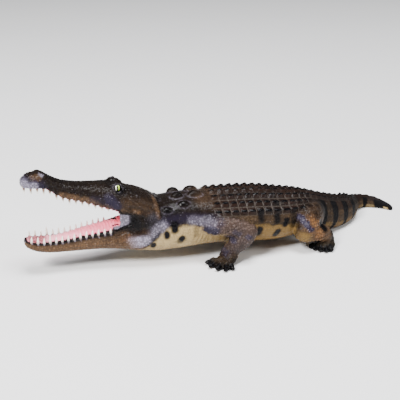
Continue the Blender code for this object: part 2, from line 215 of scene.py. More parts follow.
# A toe: share of the way from knuckle to tip, z, half width and half height
TOE_SHAPE = ((0.22, 3.7, 4.2, 3.9), (0.55, 3.6, 3.8, 3.9), (0.78, 2.9, 3.2, 3.2), (0.95, 1.9, 2.3, 2.0))
TOE_LIFT = (0.0, 0.45, 0.8, 0.5, 0.1)
# A far leg mirrors the near one about the line through these
MIDLINE_AT_SHOULDER = ((0, 0), (54, 0))
MIDLINE_AT_HIP = ((54, 0), (142, 15.0))


def marks_of(table):
    """How far along its path, seen from above, each station lies."""
    return np.concatenate([[0.0], np.cumsum(np.linalg.norm(np.diff(table[:, :2], axis=0), axis=1))])


def along(stations, reach):
    """Station values at shares (0 to 1) of the way: one cubic curve through every station."""
    table = np.array(stations, float)
    marks = marks_of(table)
    last = len(table) - 1
    target = np.clip(reach, 0.0, 1.0) * marks[-1]
    i = np.clip(np.searchsorted(marks, target, side="right") - 1, 0, last - 1)
    low, high = np.maximum(np.arange(last + 1) - 1, 0), np.minimum(np.arange(last + 1) + 1, last)
    slopes = (table[high] - table[low]) / (marks[high] - marks[low])[:, None]
    span = (marks[i + 1] - marks[i])[:, None]
    t = (target - marks[i])[:, None] / span
    return (
        (2 * t**3 - 3 * t**2 + 1) * table[i] + (t**3 - 2 * t**2 + t) * slopes[i] * span
        + (3 * t**2 - 2 * t**3) * table[i + 1] + (t**3 - t**2) * slopes[i + 1] * span
    )


SPINE_LENGTH = marks_of(np.array(TRUNK, float))[-1]
print(f"the trunk runs {SPINE_LENGTH:.0f} shares from the mouth's corner to the tail tip")

# %% [markdown]
# Each form starts as an upright drum with many rows of points. A function then moves every point
# by its turn round the drum and its way up it, which bends the drum into a trunk, a jaw or a toe.
# A rounded square, a circle raised to a power, gives jaws their flat lips and the belly its width.

# %% Drums bent into forms
BACK_POWER, BELLY_POWER = 2.15, 2.35
LIP_POWER, SKULL_POWER, CHIN_POWER = 5.0, 2.2, 2.3
THROAT_DEPTH = 13.0
CORNER_HALF_WIDTH, FAR_CORNER_HALF_WIDTH = 21.8, 26.0
CORNER_SET_BACK, CORNER_FADE = 12.0, 0.07  # the mouth reaches further back on the figure's right
CAP = 0.1  # share of a limb's drum that rounds off each end


def drum(columns, rows, place):
    """A drum of quads bent by place(turn, way), which gives each point's spot in shares."""
    bm = bmesh.new()
    bmesh.ops.create_cone(bm, cap_ends=True, segments=columns, radius1=1.0, radius2=1.0, depth=1.0)
    uprights = [e for e in bm.edges if abs(e.verts[0].co.z - e.verts[1].co.z) > 0.5]
    bmesh.ops.subdivide_edges(bm, edges=uprights, cuts=rows - 1, use_grid_fill=True)
    at = np.array([vert.co for vert in bm.verts])
    spots = in_metres(place(np.arctan2(at[:, 0], at[:, 1]), np.clip(at[:, 2] + 0.5, 0, 1)))
    for vert, spot in zip(bm.verts, spots):
        vert.co = spot
    bmesh.ops.recalc_face_normals(bm, faces=bm.faces)
    return bm


def squared(turn, power):
    """A rounded square of this power, as (sideways, up), at turns from straight up."""
    side, up = np.sin(turn), np.cos(turn)
    size = (np.abs(side) ** power + np.abs(up) ** power) ** (-1 / power)
    return size * side, size * up


def headings(stations, way, step, parts):
    ahead = along(stations, np.minimum(way + step, 1.0))[:, :parts]
    behind = along(stations, np.maximum(way - step, 0.0))[:, :parts]
    run = ahead - behind
    return run / np.linalg.norm(run, axis=1)[:, None]


def trunk_place(turn, way):
    x, y, z, half_width, half_height = along(TRUNK, way).T
    heading = headings(TRUNK, way, 0.004, 2)
    side, up = squared(turn, np.where(np.cos(turn) > 0, BACK_POWER, BELLY_POWER))
    across = half_width * side
    x = x + CORNER_SET_BACK * np.clip(side, 0, 1) * np.clip(1 - way / CORNER_FADE, 0, 1)
    return np.stack([x - heading[:, 1] * across, y + heading[:, 0] * across, z + half_height * up], 1)


def jaw_place(stations, low_power, high_power):
    def place(turn, way):
        x, half_width, low, high = along(stations, way).T
        side, up = squared(turn, np.where(np.cos(turn) > 0, high_power, low_power))
        return np.stack([x, half_width * side, (low + high) / 2 + (high - low) / 2 * up], 1)
    return place


def limb_place(stations):
    """Sections square to the path through the stations, rounded off beyond both ends."""
    def place(turn, way):
        reach = np.clip((way - CAP) / (1 - 2 * CAP), 0, 1)
        beyond = np.clip((CAP - way) / CAP, 0, 1) + np.clip((way - 1 + CAP) / CAP, 0, 1)
        values = along(stations, reach)
        tangent = headings(stations, reach, 0.02, 3)
        side = np.cross(tangent, (0.0, 0.0, 1.0))
        side /= np.linalg.norm(side, axis=1)[:, None]
        over = np.cross(side, tangent)
        shrink = np.sqrt(1 - np.minimum(beyond, 0.98) ** 2)[:, None]
        push = np.where(way > 0.5, 1.0, -1.0) * beyond * values[:, 4] * 0.85
        ring = side * values[:, 3:4] * np.cos(turn)[:, None] + over * values[:, 4:5] * np.sin(turn)[:, None]
        return values[:, :3] + ring * shrink + tangent * push[:, None]
    return place


def mirror_points(points, about):
    """Points on the other side of the upright plane through two points seen from above."""
    start = np.array((*about[0], 0.0))
    line = np.array((*about[1], 0.0)) - start
    line /= np.linalg.norm(line)
    across = np.array((-line[1], line[0], 0.0))
    return points - 2 * ((points - start) @ across)[:, None] * across


def mirrored(place, about):
    return lambda turn, way: mirror_points(place(turn, way), about)


def toe_stations(knuckle, tip, lift):
    root, run = np.array(knuckle, float), np.array(tip, float) - np.array(knuckle, float)
    return [(*(root + run * share), z + lift, wide, high) for share, z, wide, high in TOE_SHAPE]


# %% [markdown]
# The eyebrow ridges and the big shields behind the head are balls, flattened and turned to lie on
# the form below. They and the drums overlap freely here. Making one skin of them comes next.

# %% The forms of the whole body
BROW_CENTRE, BROW_RADII, BROW_TILT = (-99.0, 8.8, 87.6), (9.5, 6.4, 6.2), math.radians(9)
# x, degrees from the midline, half length, half width, height
NECK_SHIELDS = (
    (-57, 17, 4.4, 3.4, 1.8),
    (-49, 46, 6.4, 4.0, 2.6),
    (-34, 14, 7.0, 4.8, 5.2),
    (-30, 38, 6.8, 4.6, 3.6),
    (-14, 13, 8.4, 5.4, 5.4),
)
TONGUE = (
    (-168, 5.5, 34.0, 38.2), (-150, 8.0, 35.0, 40.8),
    (-128, 9.5, 38.0, 44.6), (-100, 10.0, 42.0, 48.5),
)


def mound(centre, radii, turn):
    bm = bmesh.new()
    bmesh.ops.create_uvsphere(bm, u_segments=32, v_segments=20, radius=1.0)
    size = Matrix.Diagonal((*(Vector(radii) * SHARE), 1.0))
    place = Matrix.Translation(Vector(in_metres(centre))) @ turn.to_4x4() @ size
    bmesh.ops.transform(bm, matrix=place, verts=bm.verts)
    return bm


GUM_CORNER, GUM_CORNER_RADII = (-99.0, -18.6, 44.5), (9.0, 4.2, 5.4)


def set_in_throat(bm):
    """Sinks the middle of the trunk's front face, which is the back wall of the mouth."""
    front = [face for face in bm.faces if len(face.verts) > 4 and face.calc_center_median().x < ORIGIN.x]
    middle = bmesh.ops.poke(bm, faces=front)["verts"]
    bmesh.ops.translate(bm, vec=(THROAT_DEPTH * SHARE, 0, 0), verts=middle)


def all_forms():
    trunk = drum(72, 220, trunk_place)
    set_in_throat(trunk)
    forms = [trunk]
    forms.append(drum(64, 110, jaw_place(SKULL, LIP_POWER, SKULL_POWER)))
    forms.append(drum(64, 100, jaw_place(JAW, CHIN_POWER, LIP_POWER)))
    forms.append(drum(32, 40, jaw_place(TONGUE, 2.2, 2.2)))
    tilt = Matrix.Rotation(BROW_TILT, 3, "Y")
    forms.append(mound(GUM_CORNER, GUM_CORNER_RADII, tilt))
    for side in (-1, 1):
        forms.append(mound((BROW_CENTRE[0], BROW_CENTRE[1] * side, BROW_CENTRE[2]), BROW_RADII, tilt))
        for x, degrees, half_length, half_width, height in NECK_SHIELDS:
            z, wide, high = along(TRUNK, np.array([(x - TRUNK[0][0]) / SPINE_LENGTH]))[0, 2:]
            angle = math.radians(degrees) * side
            spot = (x, wide * math.sin(angle), z + high * math.cos(angle))
            forms.append(mound(spot, (half_length, half_width, height), Matrix.Rotation(-angle, 3, "X")))
    legs = (
        ((UPPER_ARM, FOREARM), FRONT_KNUCKLE, FRONT_TOES, MIDLINE_AT_SHOULDER),
        ((THIGH, SHANK, HIND_PALM), HIND_KNUCKLE, HIND_TOES, MIDLINE_AT_HIP),
    )
    for limbs, knuckle, toes, midline in legs:
        places = [limb_place(stations) for stations in limbs]
        places += [limb_place(toe_stations(knuckle, tip, lift)) for tip, lift in zip(toes, TOE_LIFT)]
        for place in places:
            forms += [drum(32, 30, place), drum(32, 30, mirrored(place, midline))]
    return forms


forms = all_forms()
print(f"{len(forms)} overlapping forms")

# %% [markdown]
# A voxel remesh turns overlapping forms into one closed skin of even squares, as if they had been
# cast together. It leaves small steps, so the points are smoothed a little before any carving.

# %% One skin over all the forms
VOXEL = 0.00085
SMOOTHING_PASSES = 5


def object_from(bm, name):
    mesh = bpy.data.meshes.new(name)
    bm.to_mesh(mesh)
    bm.free()
    made = bpy.data.objects.new(name, mesh)
    bpy.context.scene.collection.objects.link(made)
    return made


def applied(made):
    """Replaces the object's mesh by what its modifiers make of it."""
    graph = bpy.context.evaluated_depsgraph_get()
    mesh = bpy.data.meshes.new_from_object(made.evaluated_get(graph))
    made.modifiers.clear()
    made.data = mesh
    return made


def joined(meshes_to_join):
    whole = bmesh.new()
    for bm in meshes_to_join:
        part = bpy.data.meshes.new("part")
        bm.to_mesh(part)
        bm.free()
        whole.from_mesh(part)
        bpy.data.meshes.remove(part)
    return whole


skin = object_from(joined(forms), "body_skin")
cast = skin.modifiers.new("cast", "REMESH")
cast.mode = "VOXEL"
cast.voxel_size = VOXEL
applied(skin)
bm = bmesh.new()
bm.from_mesh(skin.data)
for _ in range(SMOOTHING_PASSES):
    bmesh.ops.smooth_vert(bm, verts=bm.verts, factor=0.5, use_axis_x=True, use_axis_y=True, use_axis_z=True)
bm.to_mesh(skin.data)
bm.free()
print(f"skin of {len(skin.data.vertices)} points")

# %% [markdown]
# Carving needs to know where a point is on the animal and not only in space. These helpers give
# each point its distance along the spine, counted from the corner of the mouth, and its turn from
# the top of the back, so a row of plates follows the tail however it curls.

# %% Where a point is on the animal
SPINE_STEPS, HEAD_STEPS = 500, 400  # places tried along a curve
POINTS_AT_ONCE = 20000  # so that the distances to the spine fit in memory


def smooth(low, high, value):
    """0 below low, 1 above high, and a soft rise between them."""
    t = np.clip((value - low) / (high - low), 0.0, 1.0)
    return t * t * (3 - 2 * t)


def spine_places(points):
    """Distance along the spine, turn in degrees (0 is up, + is its right), and how far out of the trunk."""
    ways = np.linspace(0, 1, SPINE_STEPS)
    line = along(TRUNK, ways)
    centres = line[:, :2]
    nearest = np.empty(len(points), int)
    for start in range(0, len(points), POINTS_AT_ONCE):
        some = slice(start, start + POINTS_AT_ONCE)
        gaps = points[some, None, :2] - centres[None]
        nearest[some] = (gaps**2).sum(2).argmin(1)
    heading = headings(TRUNK, ways, 0.004, 2)[nearest]
    gap = points[:, :2] - centres[nearest]
    distance = ways[nearest] * SPINE_LENGTH + (gap * heading).sum(1)
    x, y, z, half_width, half_height = along(TRUNK, distance / SPINE_LENGTH).T
    side = ((points[:, :2] - np.stack([x, y], 1)) * np.stack([-heading[:, 1], heading[:, 0]], 1)).sum(1)
    across, above = side / half_width, (points[:, 2] - z) / half_height
    turn = np.degrees(np.arctan2(across, above))
    power = np.where(above > 0, BACK_POWER, BELLY_POWER)
    out = (np.abs(across) ** power + np.abs(above) ** power) ** (1 / power) - 1
    distance = np.where(points[:, 0] < TRUNK[0][0], points[:, 0] - TRUNK[0][0], distance)
    return distance, turn, out


def at_x(stations, x):
    """Station values at an x, for the head, whose stations run straight along X."""
    ways = np.linspace(0, 1, HEAD_STEPS)
    table = along(stations, ways)
    return [np.interp(x, table[:, 0], table[:, k]) for k in range(1, table.shape[1])]


# %% [markdown]
# Hide is a pattern of rounded cells with grooves between them. One jittered point in every little
# cube of space gives such cells: the groove is where the two nearest points are equally far off.
# The jitter comes from whole-number arithmetic, so the figure is the same each time it is made.

# %% Scales as cells in space
JITTER, GROOVE_STEEPNESS = 0.75, 1.7


def scatter(corners, seed):
    """Three numbers from 0 to 1 for each whole-number corner."""
    mixed = corners[:, 0] * 73856093 ^ corners[:, 1] * 19349663 ^ corners[:, 2] * 83492791 ^ seed * 2654435
    numbers = []
    for step in (1, 2, 3):
        value = (mixed + step * 9176) & 0x7FFFFFFF
        value = ((value ^ (value >> 13)) * 1274126177) & 0x7FFFFFFF
        numbers.append(((value ^ (value >> 16)) & 0xFFFF) / 0xFFFF)
    return np.stack(numbers, 1)


def cells(points, size, seed):
    """How far each point is from a groove: 0 in the groove, 1 in the middle of a scale."""
    places = points / size
    base = np.floor(places).astype(np.int64)
    near = np.full(len(points), 9.0)
    second = np.full(len(points), 9.0)
    for offset in itertools.product((-1, 0, 1), repeat=3):
        corner = base + np.array(offset)
        spots = corner + 0.5 + (scatter(corner, seed) - 0.5) * JITTER
        reach = np.sqrt(((spots - places) ** 2).sum(1))
        closer = reach < near
        second = np.where(closer, near, np.minimum(second, reach))
        near = np.where(closer, reach, near)
    return np.clip((second - near) * GROOVE_STEEPNESS, 0, 1)


# %% [markdown]
# Four rows of keeled plates run down each side of the back, smaller to the outside. A plate's keel
# rises slowly and drops at the back. On the tail the rows give way to one upright saw-edged crest.

# %% Back plates and tail crest
SCUTE_ROW_DEGREES = 17.5
SCUTE_HEIGHTS = np.array((3.0, 3.2, 2.9, 2.2))
FIRST_SCUTE, LAST_SCUTE = 0.255 * SPINE_LENGTH, 0.965 * SPINE_LENGTH
SCUTE_PITCH = 9.4
SCUTE_PEAK = 0.6
PAD_HEIGHT, PAD_SINK = 1.1, 0.7  # the flat plate under a keel, and how deep its grooves lie
CREST_HALF_TURN = 22.0  # degrees
ROWS_END, ROWS_CLOSING = 0.74 * SPINE_LENGTH, 0.08 * SPINE_LENGTH
# The tail's one crest: share of the way, height in shares
CREST = (
    (0.70, 0.0), (0.725, 3.6), (0.749, 4.8), (0.772, 0.9),
    (0.796, 3.6), (0.844, 2.8), (0.892, 1.7), (0.97, 1.2),
)
CREST_KEEL = 2.0  # a crest this high is painted as dark as a keel


def plates(distance, turn):
    """Height of the plates in shares, their edges (1 in a groove), and their keels (1 on the ridge)."""
    pitches = (distance - FIRST_SCUTE) / SCUTE_PITCH
    t = pitches % 1.0
    rows = np.abs(turn) / SCUTE_ROW_DEGREES
    row = np.minimum(rows.astype(int), 3)
    w = rows % 1.0
    there = smooth(0, 3, distance - FIRST_SCUTE) * smooth(0, 4, LAST_SCUTE - distance)
    there = there * (1 - smooth(3.9, 4.1, rows))
    closing = np.clip((distance - ROWS_END) / ROWS_CLOSING, 0, 1)
    outer_fade = 1 - smooth(185, 235, distance) * smooth(1.6, 2.6, rows) * 0.75
    from_peak = (t - SCUTE_PEAK) / np.where(t < SCUTE_PEAK, SCUTE_PEAK, 1 - SCUTE_PEAK)
    profile = np.sqrt(np.clip(1 - from_peak**2, 0, 1))
    profile = profile * (0.55 + 0.45 * np.clip(t / SCUTE_PEAK, 0, 1))
    ridge = np.clip(1 - np.abs(w - 0.5) / 0.40, 0, 1) ** 1.35
    pad = smooth(0.0, 0.13, np.minimum(t, 1 - t)) * smooth(0.0, 0.15, np.minimum(w, 1 - w))
    height = SCUTE_HEIGHTS[row] * profile * ridge + PAD_HEIGHT * pad - PAD_SINK
    rows_left = there * (1 - closing) * outer_fade
    fin = np.clip(1 - np.abs(turn) / CREST_HALF_TURN, 0, 1) ** 1.2
    crest = np.interp(distance / SPINE_LENGTH, *np.array(CREST).T) * smooth(0, 4, LAST_SCUTE - distance)
    fins = crest * (0.25 + 0.75 * profile) * fin
    keel = profile * np.clip(1 - np.abs(w - 0.5) / 0.22, 0, 1) * rows_left
    return height * rows_left + fins, (1 - pad) * rows_left, np.maximum(keel, fins / CREST_KEEL)


# %% [markdown]
# The head carries its own small forms: lids round the eye, a slit for the ear, a nostril with a
# rim, a swelling of the gum at each tooth, and folds behind the mouth and the jowl. Lines are
# written by their ends as seen from the side, in x and z, and both sides of the head get them.

# %% Folds, lids, nostrils and gums
# x and z of both ends, half width, depth (above 0 is cut in)
HEAD_LINES = (
    (-91.5, 86.4, -79.8, 80.9, 1.1, 1.9),
    (-90.5, 84.0, -80.5, 79.0, 0.9, -0.8),
    (-88.5, 82.4, -79.0, 77.2, 0.9, 1.0),
    (-104, 45.6, -98.7, 47.0, 1.3, 1.2),
    (-98.7, 47.0, -89.5, 51.5, 1.6, 1.5),
    (-89.5, 51.5, -86.0, 59.0, 1.4, 1.1),
    (-99, 64.2, -84.0, 65.5, 1.1, -1.1),
    (-84, 65.5, -73.0, 60.0, 1.3, -1.1),
    (-84.5, 62.5, -74.0, 57.0, 1.4, 1.1),
    (-60.5, 71, -59.0, 56, 1.9, -1.1),
    (-64.5, 69, -63.5, 52, 1.8, 1.2),
    (-56.0, 72, -54.0, 54, 2.0, 1.2),
    (-101, 42.0, -70, 46.0, 1.2, 1.1),
    (-104, 38.5, -74, 41.0, 1.1, -0.7),
    (-104, 35.0, -72, 37.5, 1.3, 1.0),
    (-98, 30.0, -76, 32.0, 1.3, 0.8),
    (-84, 78.0, -66, 70.0, 1.5, 1.1),
    (-86, 74.5, -68, 67.0, 1.5, -0.7),
    (-90, 71.0, -70, 65.0, 1.4, 0.8),
    (-170, 30.5, -112, 32.5, 1.2, 0.6),
    (-160, 26.5, -105, 28.0, 1.2, 0.5),
    (-172, 98.0, -150, 90.0, 1.6, 0.7),
    (-150, 90.0, -112, 84.5, 1.8, 0.6),
    (-146, 94.5, -108, 90.0, 1.8, -0.3),
)
NOSTRIL_CENTRE = (-189.5, 4.2, 110.6)
UPPER_TEETH, LOWER_TEETH = (-194.5, -111), (-190.5, -109)
TEETH_IN_ROW = 14
LID_LENGTH, LID_HEIGHT, LID_TILT, LID_POWER = 4.6, 3.5, math.radians(-20), 1.5
# Raised rims and furrows round the eye: how far out (1 is the lid's edge), width, height
LID_RINGS = ((1.1, 0.15, 1.6), (1.45, 0.12, -0.8), (1.75, 0.14, 0.7), (2.05, 0.12, -0.5))
LID_DEPTH = 3.2
NOSTRIL_RIM, NOSTRIL_HOLE = (3.4, 1.0, 1.1), (0.0, 1.9, -2.6)  # from its centre, width, height


def line_distance(x, z, ends):
    start, run = np.array(ends[:2]), np.array(ends[2:4]) - np.array(ends[:2])
    t = np.clip(((x - start[0]) * run[0] + (z - start[1]) * run[1]) / (run @ run), 0, 1)
    return np.hypot(x - start[0] - run[0] * t, z - start[1] - run[1] * t)


def hump(value, middle, width):
    """1 where the value is at the middle, and soon 0 on both sides of it."""
    return np.exp(-(((value - middle) / width) ** 2))


def tooth_wave(x, first_last):
    """1 at each tooth of a row and 0 half way between two."""
    first, last = first_last
    phase = (x - first) / (last - first) * (TEETH_IN_ROW - 1)
    return 0.5 + 0.5 * np.cos(2 * math.pi * phase)


def lid_ring(points):
    """1 on the rim of the almond between the lids, less inside it, and how far out a point lies."""
    a, b = points[:, 0] - EYE_CENTRE[0], points[:, 2] - EYE_CENTRE[2]
    length = np.abs(a * math.cos(LID_TILT) + b * math.sin(LID_TILT)) / LID_LENGTH
    height = np.abs(b * math.cos(LID_TILT) - a * math.sin(LID_TILT)) / LID_HEIGHT
    ring = (length**LID_POWER + height**LID_POWER) ** (1 / LID_POWER)
    return ring, smooth(-2.0, 1.5, np.abs(points[:, 1]) - EYE_CENTRE[1])


def head_relief(points):
    x, z, wide = points[:, 0], points[:, 2], np.abs(points[:, 1])
    relief = np.zeros(len(points))
    on_side = smooth(6, 10, wide) * smooth(-48, -54, x)
    for line in HEAD_LINES:
        relief -= line[5] * hump(line_distance(x, z, line), 0, line[4]) * on_side
    _, lip, top = at_x(SKULL, x)
    share = (z - lip) / (top - lip)
    upper = smooth(-0.25, 0.0, share) * smooth(0.42, 0.1, share) * smooth(-104, -110, x)
    relief += 1.3 * (tooth_wave(x, UPPER_TEETH) - 0.3) * upper * smooth(5, 8, wide)
    _, low, lip_below = at_x(JAW, x)
    share = (lip_below - z) / (lip_below - low)
    gum = smooth(-0.1, 0.05, share) * smooth(0.20, 0.08, share) * smooth(-100, -108, x)
    gum = gum * smooth(60, 50, z) * smooth(4, 7, wide)
    relief += 1.2 * (tooth_wave(x, LOWER_TEETH) - 0.45) * gum
    lid, outward = lid_ring(points)
    for middle, width, height in LID_RINGS:
        relief += outward * height * hump(lid, middle, width)
    relief -= outward * LID_DEPTH * smooth(1.0, 0.72, lid)
    away = np.linalg.norm(np.stack([x, wide, z], 1) - NOSTRIL_CENTRE, axis=1)
    for middle, width, height in (NOSTRIL_RIM, NOSTRIL_HOLE):
        relief += height * hump(away, middle, width)
    return relief


# %% [markdown]
# Last come the limbs and the plain hide between: broad belly shields, creases at the elbow and
# round the neck, knuckles along the toes, and small round scales everywhere else.

# %% Hide of the trunk and limbs
# Creases seen from the side: distance along the spine and z of both ends, half width, depth
HIDE_CREASES = (
    (109, 36, 128, 50, 1.3, 1.5),
    (107, 34, 126, 48, 1.2, -0.8),
    (82, 24, 85, 34, 1.0, 0.7),
    (86, 23, 89, 33, 1.0, 0.7),
    (90, 23, 93, 32, 1.0, 0.7),
    (78, 22, 80, 33, 1.0, 0.6),
    (205, 16.5, 226, 20, 1.3, 1.2),
    (52, 62, 58, 34, 2.0, 0.9),
    (70, 64, 74, 36, 2.0, 0.7),
)
LIMB_SCALE, HEAD_SCALE, GUM_FOLD = 2.9, 2.3, 3.3
BELLY_SHIELD, BELLY_SHIELD_DEGREES = 7.0, 13.0
FEET = ((FRONT_KNUCKLE, FRONT_TOES, MIDLINE_AT_SHOULDER), (HIND_KNUCKLE, HIND_TOES, MIDLINE_AT_HIP))
FOOT_HEIGHT, TOE_JOINTS = 14.0, 3
ARC_SHARE = 0.55  # shares along the skin for each degree of turn


def shield_marks(distance, turn):
    """How far out each point lies from the middle of the nearest neck shield (1 is its rim)."""
    nearest = np.full(len(distance), 9.0)
    for x, degrees, half_length, half_width, _ in NECK_SHIELDS:
        across = (np.abs(turn) - degrees) * ARC_SHARE
        reach = np.hypot((distance - x + TRUNK[0][0]) / half_length, across / half_width)
        nearest = np.minimum(nearest, reach)
    return nearest


def relief_of(points, normals):
    """Carving depth at each point, in shares, with the marks that the paint needs."""
    distance, turn, out = spine_places(points)
    around = np.abs(turn)
    head = smooth(-58, -70, points[:, 0])
    trunk = smooth(0.16, 0.06, out) * (1 - head)
    rows_height, edge, keel = plates(distance, turn)
    relief = rows_height * trunk
    relief += head_relief(points) * smooth(-46, -54, points[:, 0])
    for crease in HIDE_CREASES:
        furrow = hump(line_distance(distance, points[:, 2], crease), 0, crease[4])
        relief -= crease[5] * furrow * smooth(60, 80, around) * (1 - head)
    plated = smooth(74, 66, around) * smooth(-3, 3, distance - FIRST_SCUTE) * trunk
    shields = smooth(1.5, 0.9, shield_marks(distance, turn)) * (1 - head)
    belly = smooth(100, 112, around) * trunk
    nape = smooth(80, 55, around) * smooth(0, 20, distance) * (1 - plated) * (1 - head)
    pebbles = cells(points * np.array((1.0, 1.0, 0.85)), LIMB_SCALE, 3)
    grains = cells(points, HEAD_SCALE, 7)
    hide = (smooth(0, 0.55, pebbles) - 0.7) * 0.8 * (1 - 0.85 * nape)
    hide = hide * (1 - 0.65 * smooth(206, 226, distance))
    fine = (smooth(0, 0.7, grains) - 0.7) * 0.6
    lengthways, crossways = (distance / BELLY_SHIELD) % 1, (turn / BELLY_SHIELD_DEGREES) % 1
    gap = np.minimum(np.abs(lengthways - 0.5), np.abs(crossways - 0.5))
    mouth = mouth_of(points)
    relief += hide * (1 - plated) * (1 - belly) * (1 - head) * (1 - shields)
    relief += fine * (head + 0.5 * plated + 0.3 * shields) * (1 - mouth)
    relief += (smooth(0.0, 0.07, gap) - 1) * 0.45 * belly
    relief += toe_relief(points, normals)
    relief += 0.5 * np.cos(points[:, 0] * 2 * math.pi / GUM_FOLD) * mouth
    marks = {"edge": edge * trunk, "keel": keel * trunk, "scale": np.where(head > 0.5, grains, pebbles)}
    return relief, marks


def toe_places(points):
    """How far each point lies along the nearest toe (1 is its end), and how far off its axis."""
    t, off = np.zeros(len(points)), np.full(len(points), 99.0)
    feet = np.flatnonzero(points[:, 2] < FOOT_HEIGHT)
    low = points[feet] * (1.0, 1.0, 0.0)
    for knuckle, toes, about in FEET:
        for tip in toes:
            ends = np.array([[*knuckle, 0.0], [*tip, 0.0]])
            for root, end in (ends, mirror_points(ends, about)):
                run = end - root
                way = ((low - root) @ run) / (run @ run)
                gap = np.linalg.norm(low - root - np.clip(way, 0, 1.1)[:, None] * run, axis=1)
                nearer = gap < off[feet]
                t[feet[nearer]], off[feet[nearer]] = way[nearer], gap[nearer]
    return t, off


def toe_relief(points, normals):
    """Raised knuckles along each toe, and grooves between the toes."""
    t, off = toe_places(points)
    on_toe = smooth(12, 7, off) * smooth(0.25, 0.5, t) * smooth(-0.2, 0.3, normals[:, 2])
    finger = hump(off, 0, 2.2) * (0.9 + 0.5 * np.cos(t * 2 * math.pi * TOE_JOINTS))
    return on_toe * (finger - 1.5 * smooth(2.0, 3.6, off) * smooth(1.0, 0.8, t))


def mouth_of(points):
    """1 inside the mouth, between the jaws and within the rows of teeth."""
    x, z, wide = points[:, 0], points[:, 2], np.abs(points[:, 1])
    half_above, lip_above, _ = at_x(SKULL, x)
    half_below, _, lip_below = at_x(JAW, x)
    corner = np.where(points[:, 1] > 0, FAR_CORNER_HALF_WIDTH, CORNER_HALF_WIDTH)
    within = smooth(-0.4, -1.4, wide - np.minimum(np.minimum(half_above, half_below), corner) + 1.0)
    far_corner = 3.0 * smooth(0, 4, points[:, 1]) * smooth(-118, -108, x)
    between = smooth(-1.6, -0.6, z - lip_below) * smooth(1.6, 0.6, z - lip_above - far_corner)
    return within * between * smooth(-75, -79, x) * smooth(-195.5, -193.0, x)


def points_and_normals(mesh):
    points, normals = np.empty(len(mesh.vertices) * 3), np.empty(len(mesh.vertices) * 3)
    mesh.vertices.foreach_get("co", points)
    mesh.vertex_normals.foreach_get("vector", normals)
    return points.reshape(-1, 3), normals.reshape(-1, 3)


points, normals = points_and_normals(skin.data)
relief, marks = relief_of(in_shares(points), normals)
carved = np.clip(points + normals * relief[:, None] * SHARE, cad_low, cad_high)
skin.data.vertices.foreach_set("co", carved.ravel())
for name, values in marks.items():
    skin.data.attributes.new(name, "FLOAT", "POINT").data.foreach_set("value", values.astype(np.float32))
skin.data.update()
print(f"carving from {relief.min():.1f} to {relief.max():.1f} shares")

# %% [markdown]
# The carved skin has far more faces than its flat parts need. Decimating merges faces where they
# hardly bend and keeps them where plates and folds are, which leaves the file a sensible size.

# %% Fewer faces where the skin is smooth
MOST_TRIANGLES = 190000

triangles = 2 * len(skin.data.polygons)
if triangles > MOST_TRIANGLES:
    thin = skin.modifiers.new("thin", "DECIMATE")
    thin.ratio = MOST_TRIANGLES / triangles
    applied(skin)
skin.data.shade_smooth()
print(f"{triangles} triangles, now {sum(len(p.vertices) - 2 for p in skin.data.polygons)}")

# %% [markdown]
# The paint is sprayed in soft patches, so each colour is a mask: a number from 0 to 1 stored on
# every point. The masks follow the animal, such as a band at a distance along the tail, and the
# same marks go on both sides. Some masks are painted light: highlights in the lavender, and shade
# in the mouth's crease, between flank and thigh and between the toes. The material later turns
# the masks into colours.

# %% Masks for the sprayed colours and the painted light
# Sprayed marks and painted light seen from the side: distance along the spine and z of both ends, radius,
# strength
SPOTS_AND_SHADE_MARKS = (
    (34.6, 24.5, 34.6, 26.5, 2.8, 1.0),
    (36.0, 33.5, 40.0, 40.0, 2.4, 0.55),
    (48.3, 35.5, 48.3, 39.0, 3.2, 0.95),
    (57.0, 42.0, 57.0, 48.0, 4.0, 0.9),
    (63.2, 28.5, 65.0, 31.5, 3.6, 1.0),
    (79.8, 34.0, 79.8, 42.0, 3.0, 0.4),
    (152.0, 45.0, 152.0, 54.0, 3.4, 0.8),
    (148.5, 28.0, 150.5, 34.0, 3.5, 1.0),
    (170.0, 40.5, 170.0, 47.0, 3.4, 0.8),
    (177.8, 35.5, 179.4, 41.0, 2.8, 0.95),
    (169.4, 24.0, 171.6, 28.5, 3.0, 1.0),
    # painted shadow in the gap between the flank and the thigh
    (187.0, 33.0, 187.5, 54.0, 3.6, 0.65),
    (286.5, 24.0, 286.5, 48.0, 1.5, 0.8),
    (293.5, 24.0, 293.5, 46.0, 1.2, 0.7),
    (213.5, 30.5, 215.5, 26.5, 4.6, 0.85),
    (207.7, 40.0, 207.7, 42.5, 3.2, 0.5),
    (8.0, 60.0, 16.0, 46.0, 8.0, 0.75),
    (18.0, 42.0, 38.0, 54.0, 6.0, 0.4),
)
VIOLET_MARKS = (
    (193.2, 40.0, 196.8, 31.0, 3.0, 1.1),
    (78.0, 53.0, 102.0, 49.0, 6.0, 0.50),
    (91.0, 41.5, 99.0, 38.5, 4.6, 1.1),
    (50.0, 54.0, 68.0, 58.0, 8.0, 0.55),
    (112.0, 31.0, 117.0, 29.0, 3.0, 0.8),
    (132.0, 33.0, 134.0, 32.5, 2.6, 0.7),
    (119.0, 38.0, 123.0, 36.0, 2.6, 0.5),
    (104.0, 15.0, 110.0, 14.0, 3.4, 0.7),
)
# lavender patches: paint, and painted highlights on the throat, the shoulder and the thigh's band
LAVENDER_AND_HIGHLIGHT_MARKS = (
    (8.0, 28.0, 24.0, 34.0, 7.0, 1.4),
    (20.0, 36.0, 42.0, 45.0, 7.0, 0.8),
    (24.0, 41.0, 46.0, 47.0, 3.5, 0.5),
    (76.0, 50.0, 96.0, 48.0, 4.5, 0.45),
    (14.0, 53.0, 34.0, 58.0, 6.0, 0.2),
    (193.0, 40.0, 195.5, 34.0, 1.0, 0.2),
)
ORANGE_MARKS = (
    (201.0, 35.0, 207.0, 24.0, 7.0, 0.9),
    (26.0, 21.0, 60.0, 19.0, 4.0, 0.4),
    (6.0, 36.0, 16.0, 40.0, 5.0, 0.35),
)
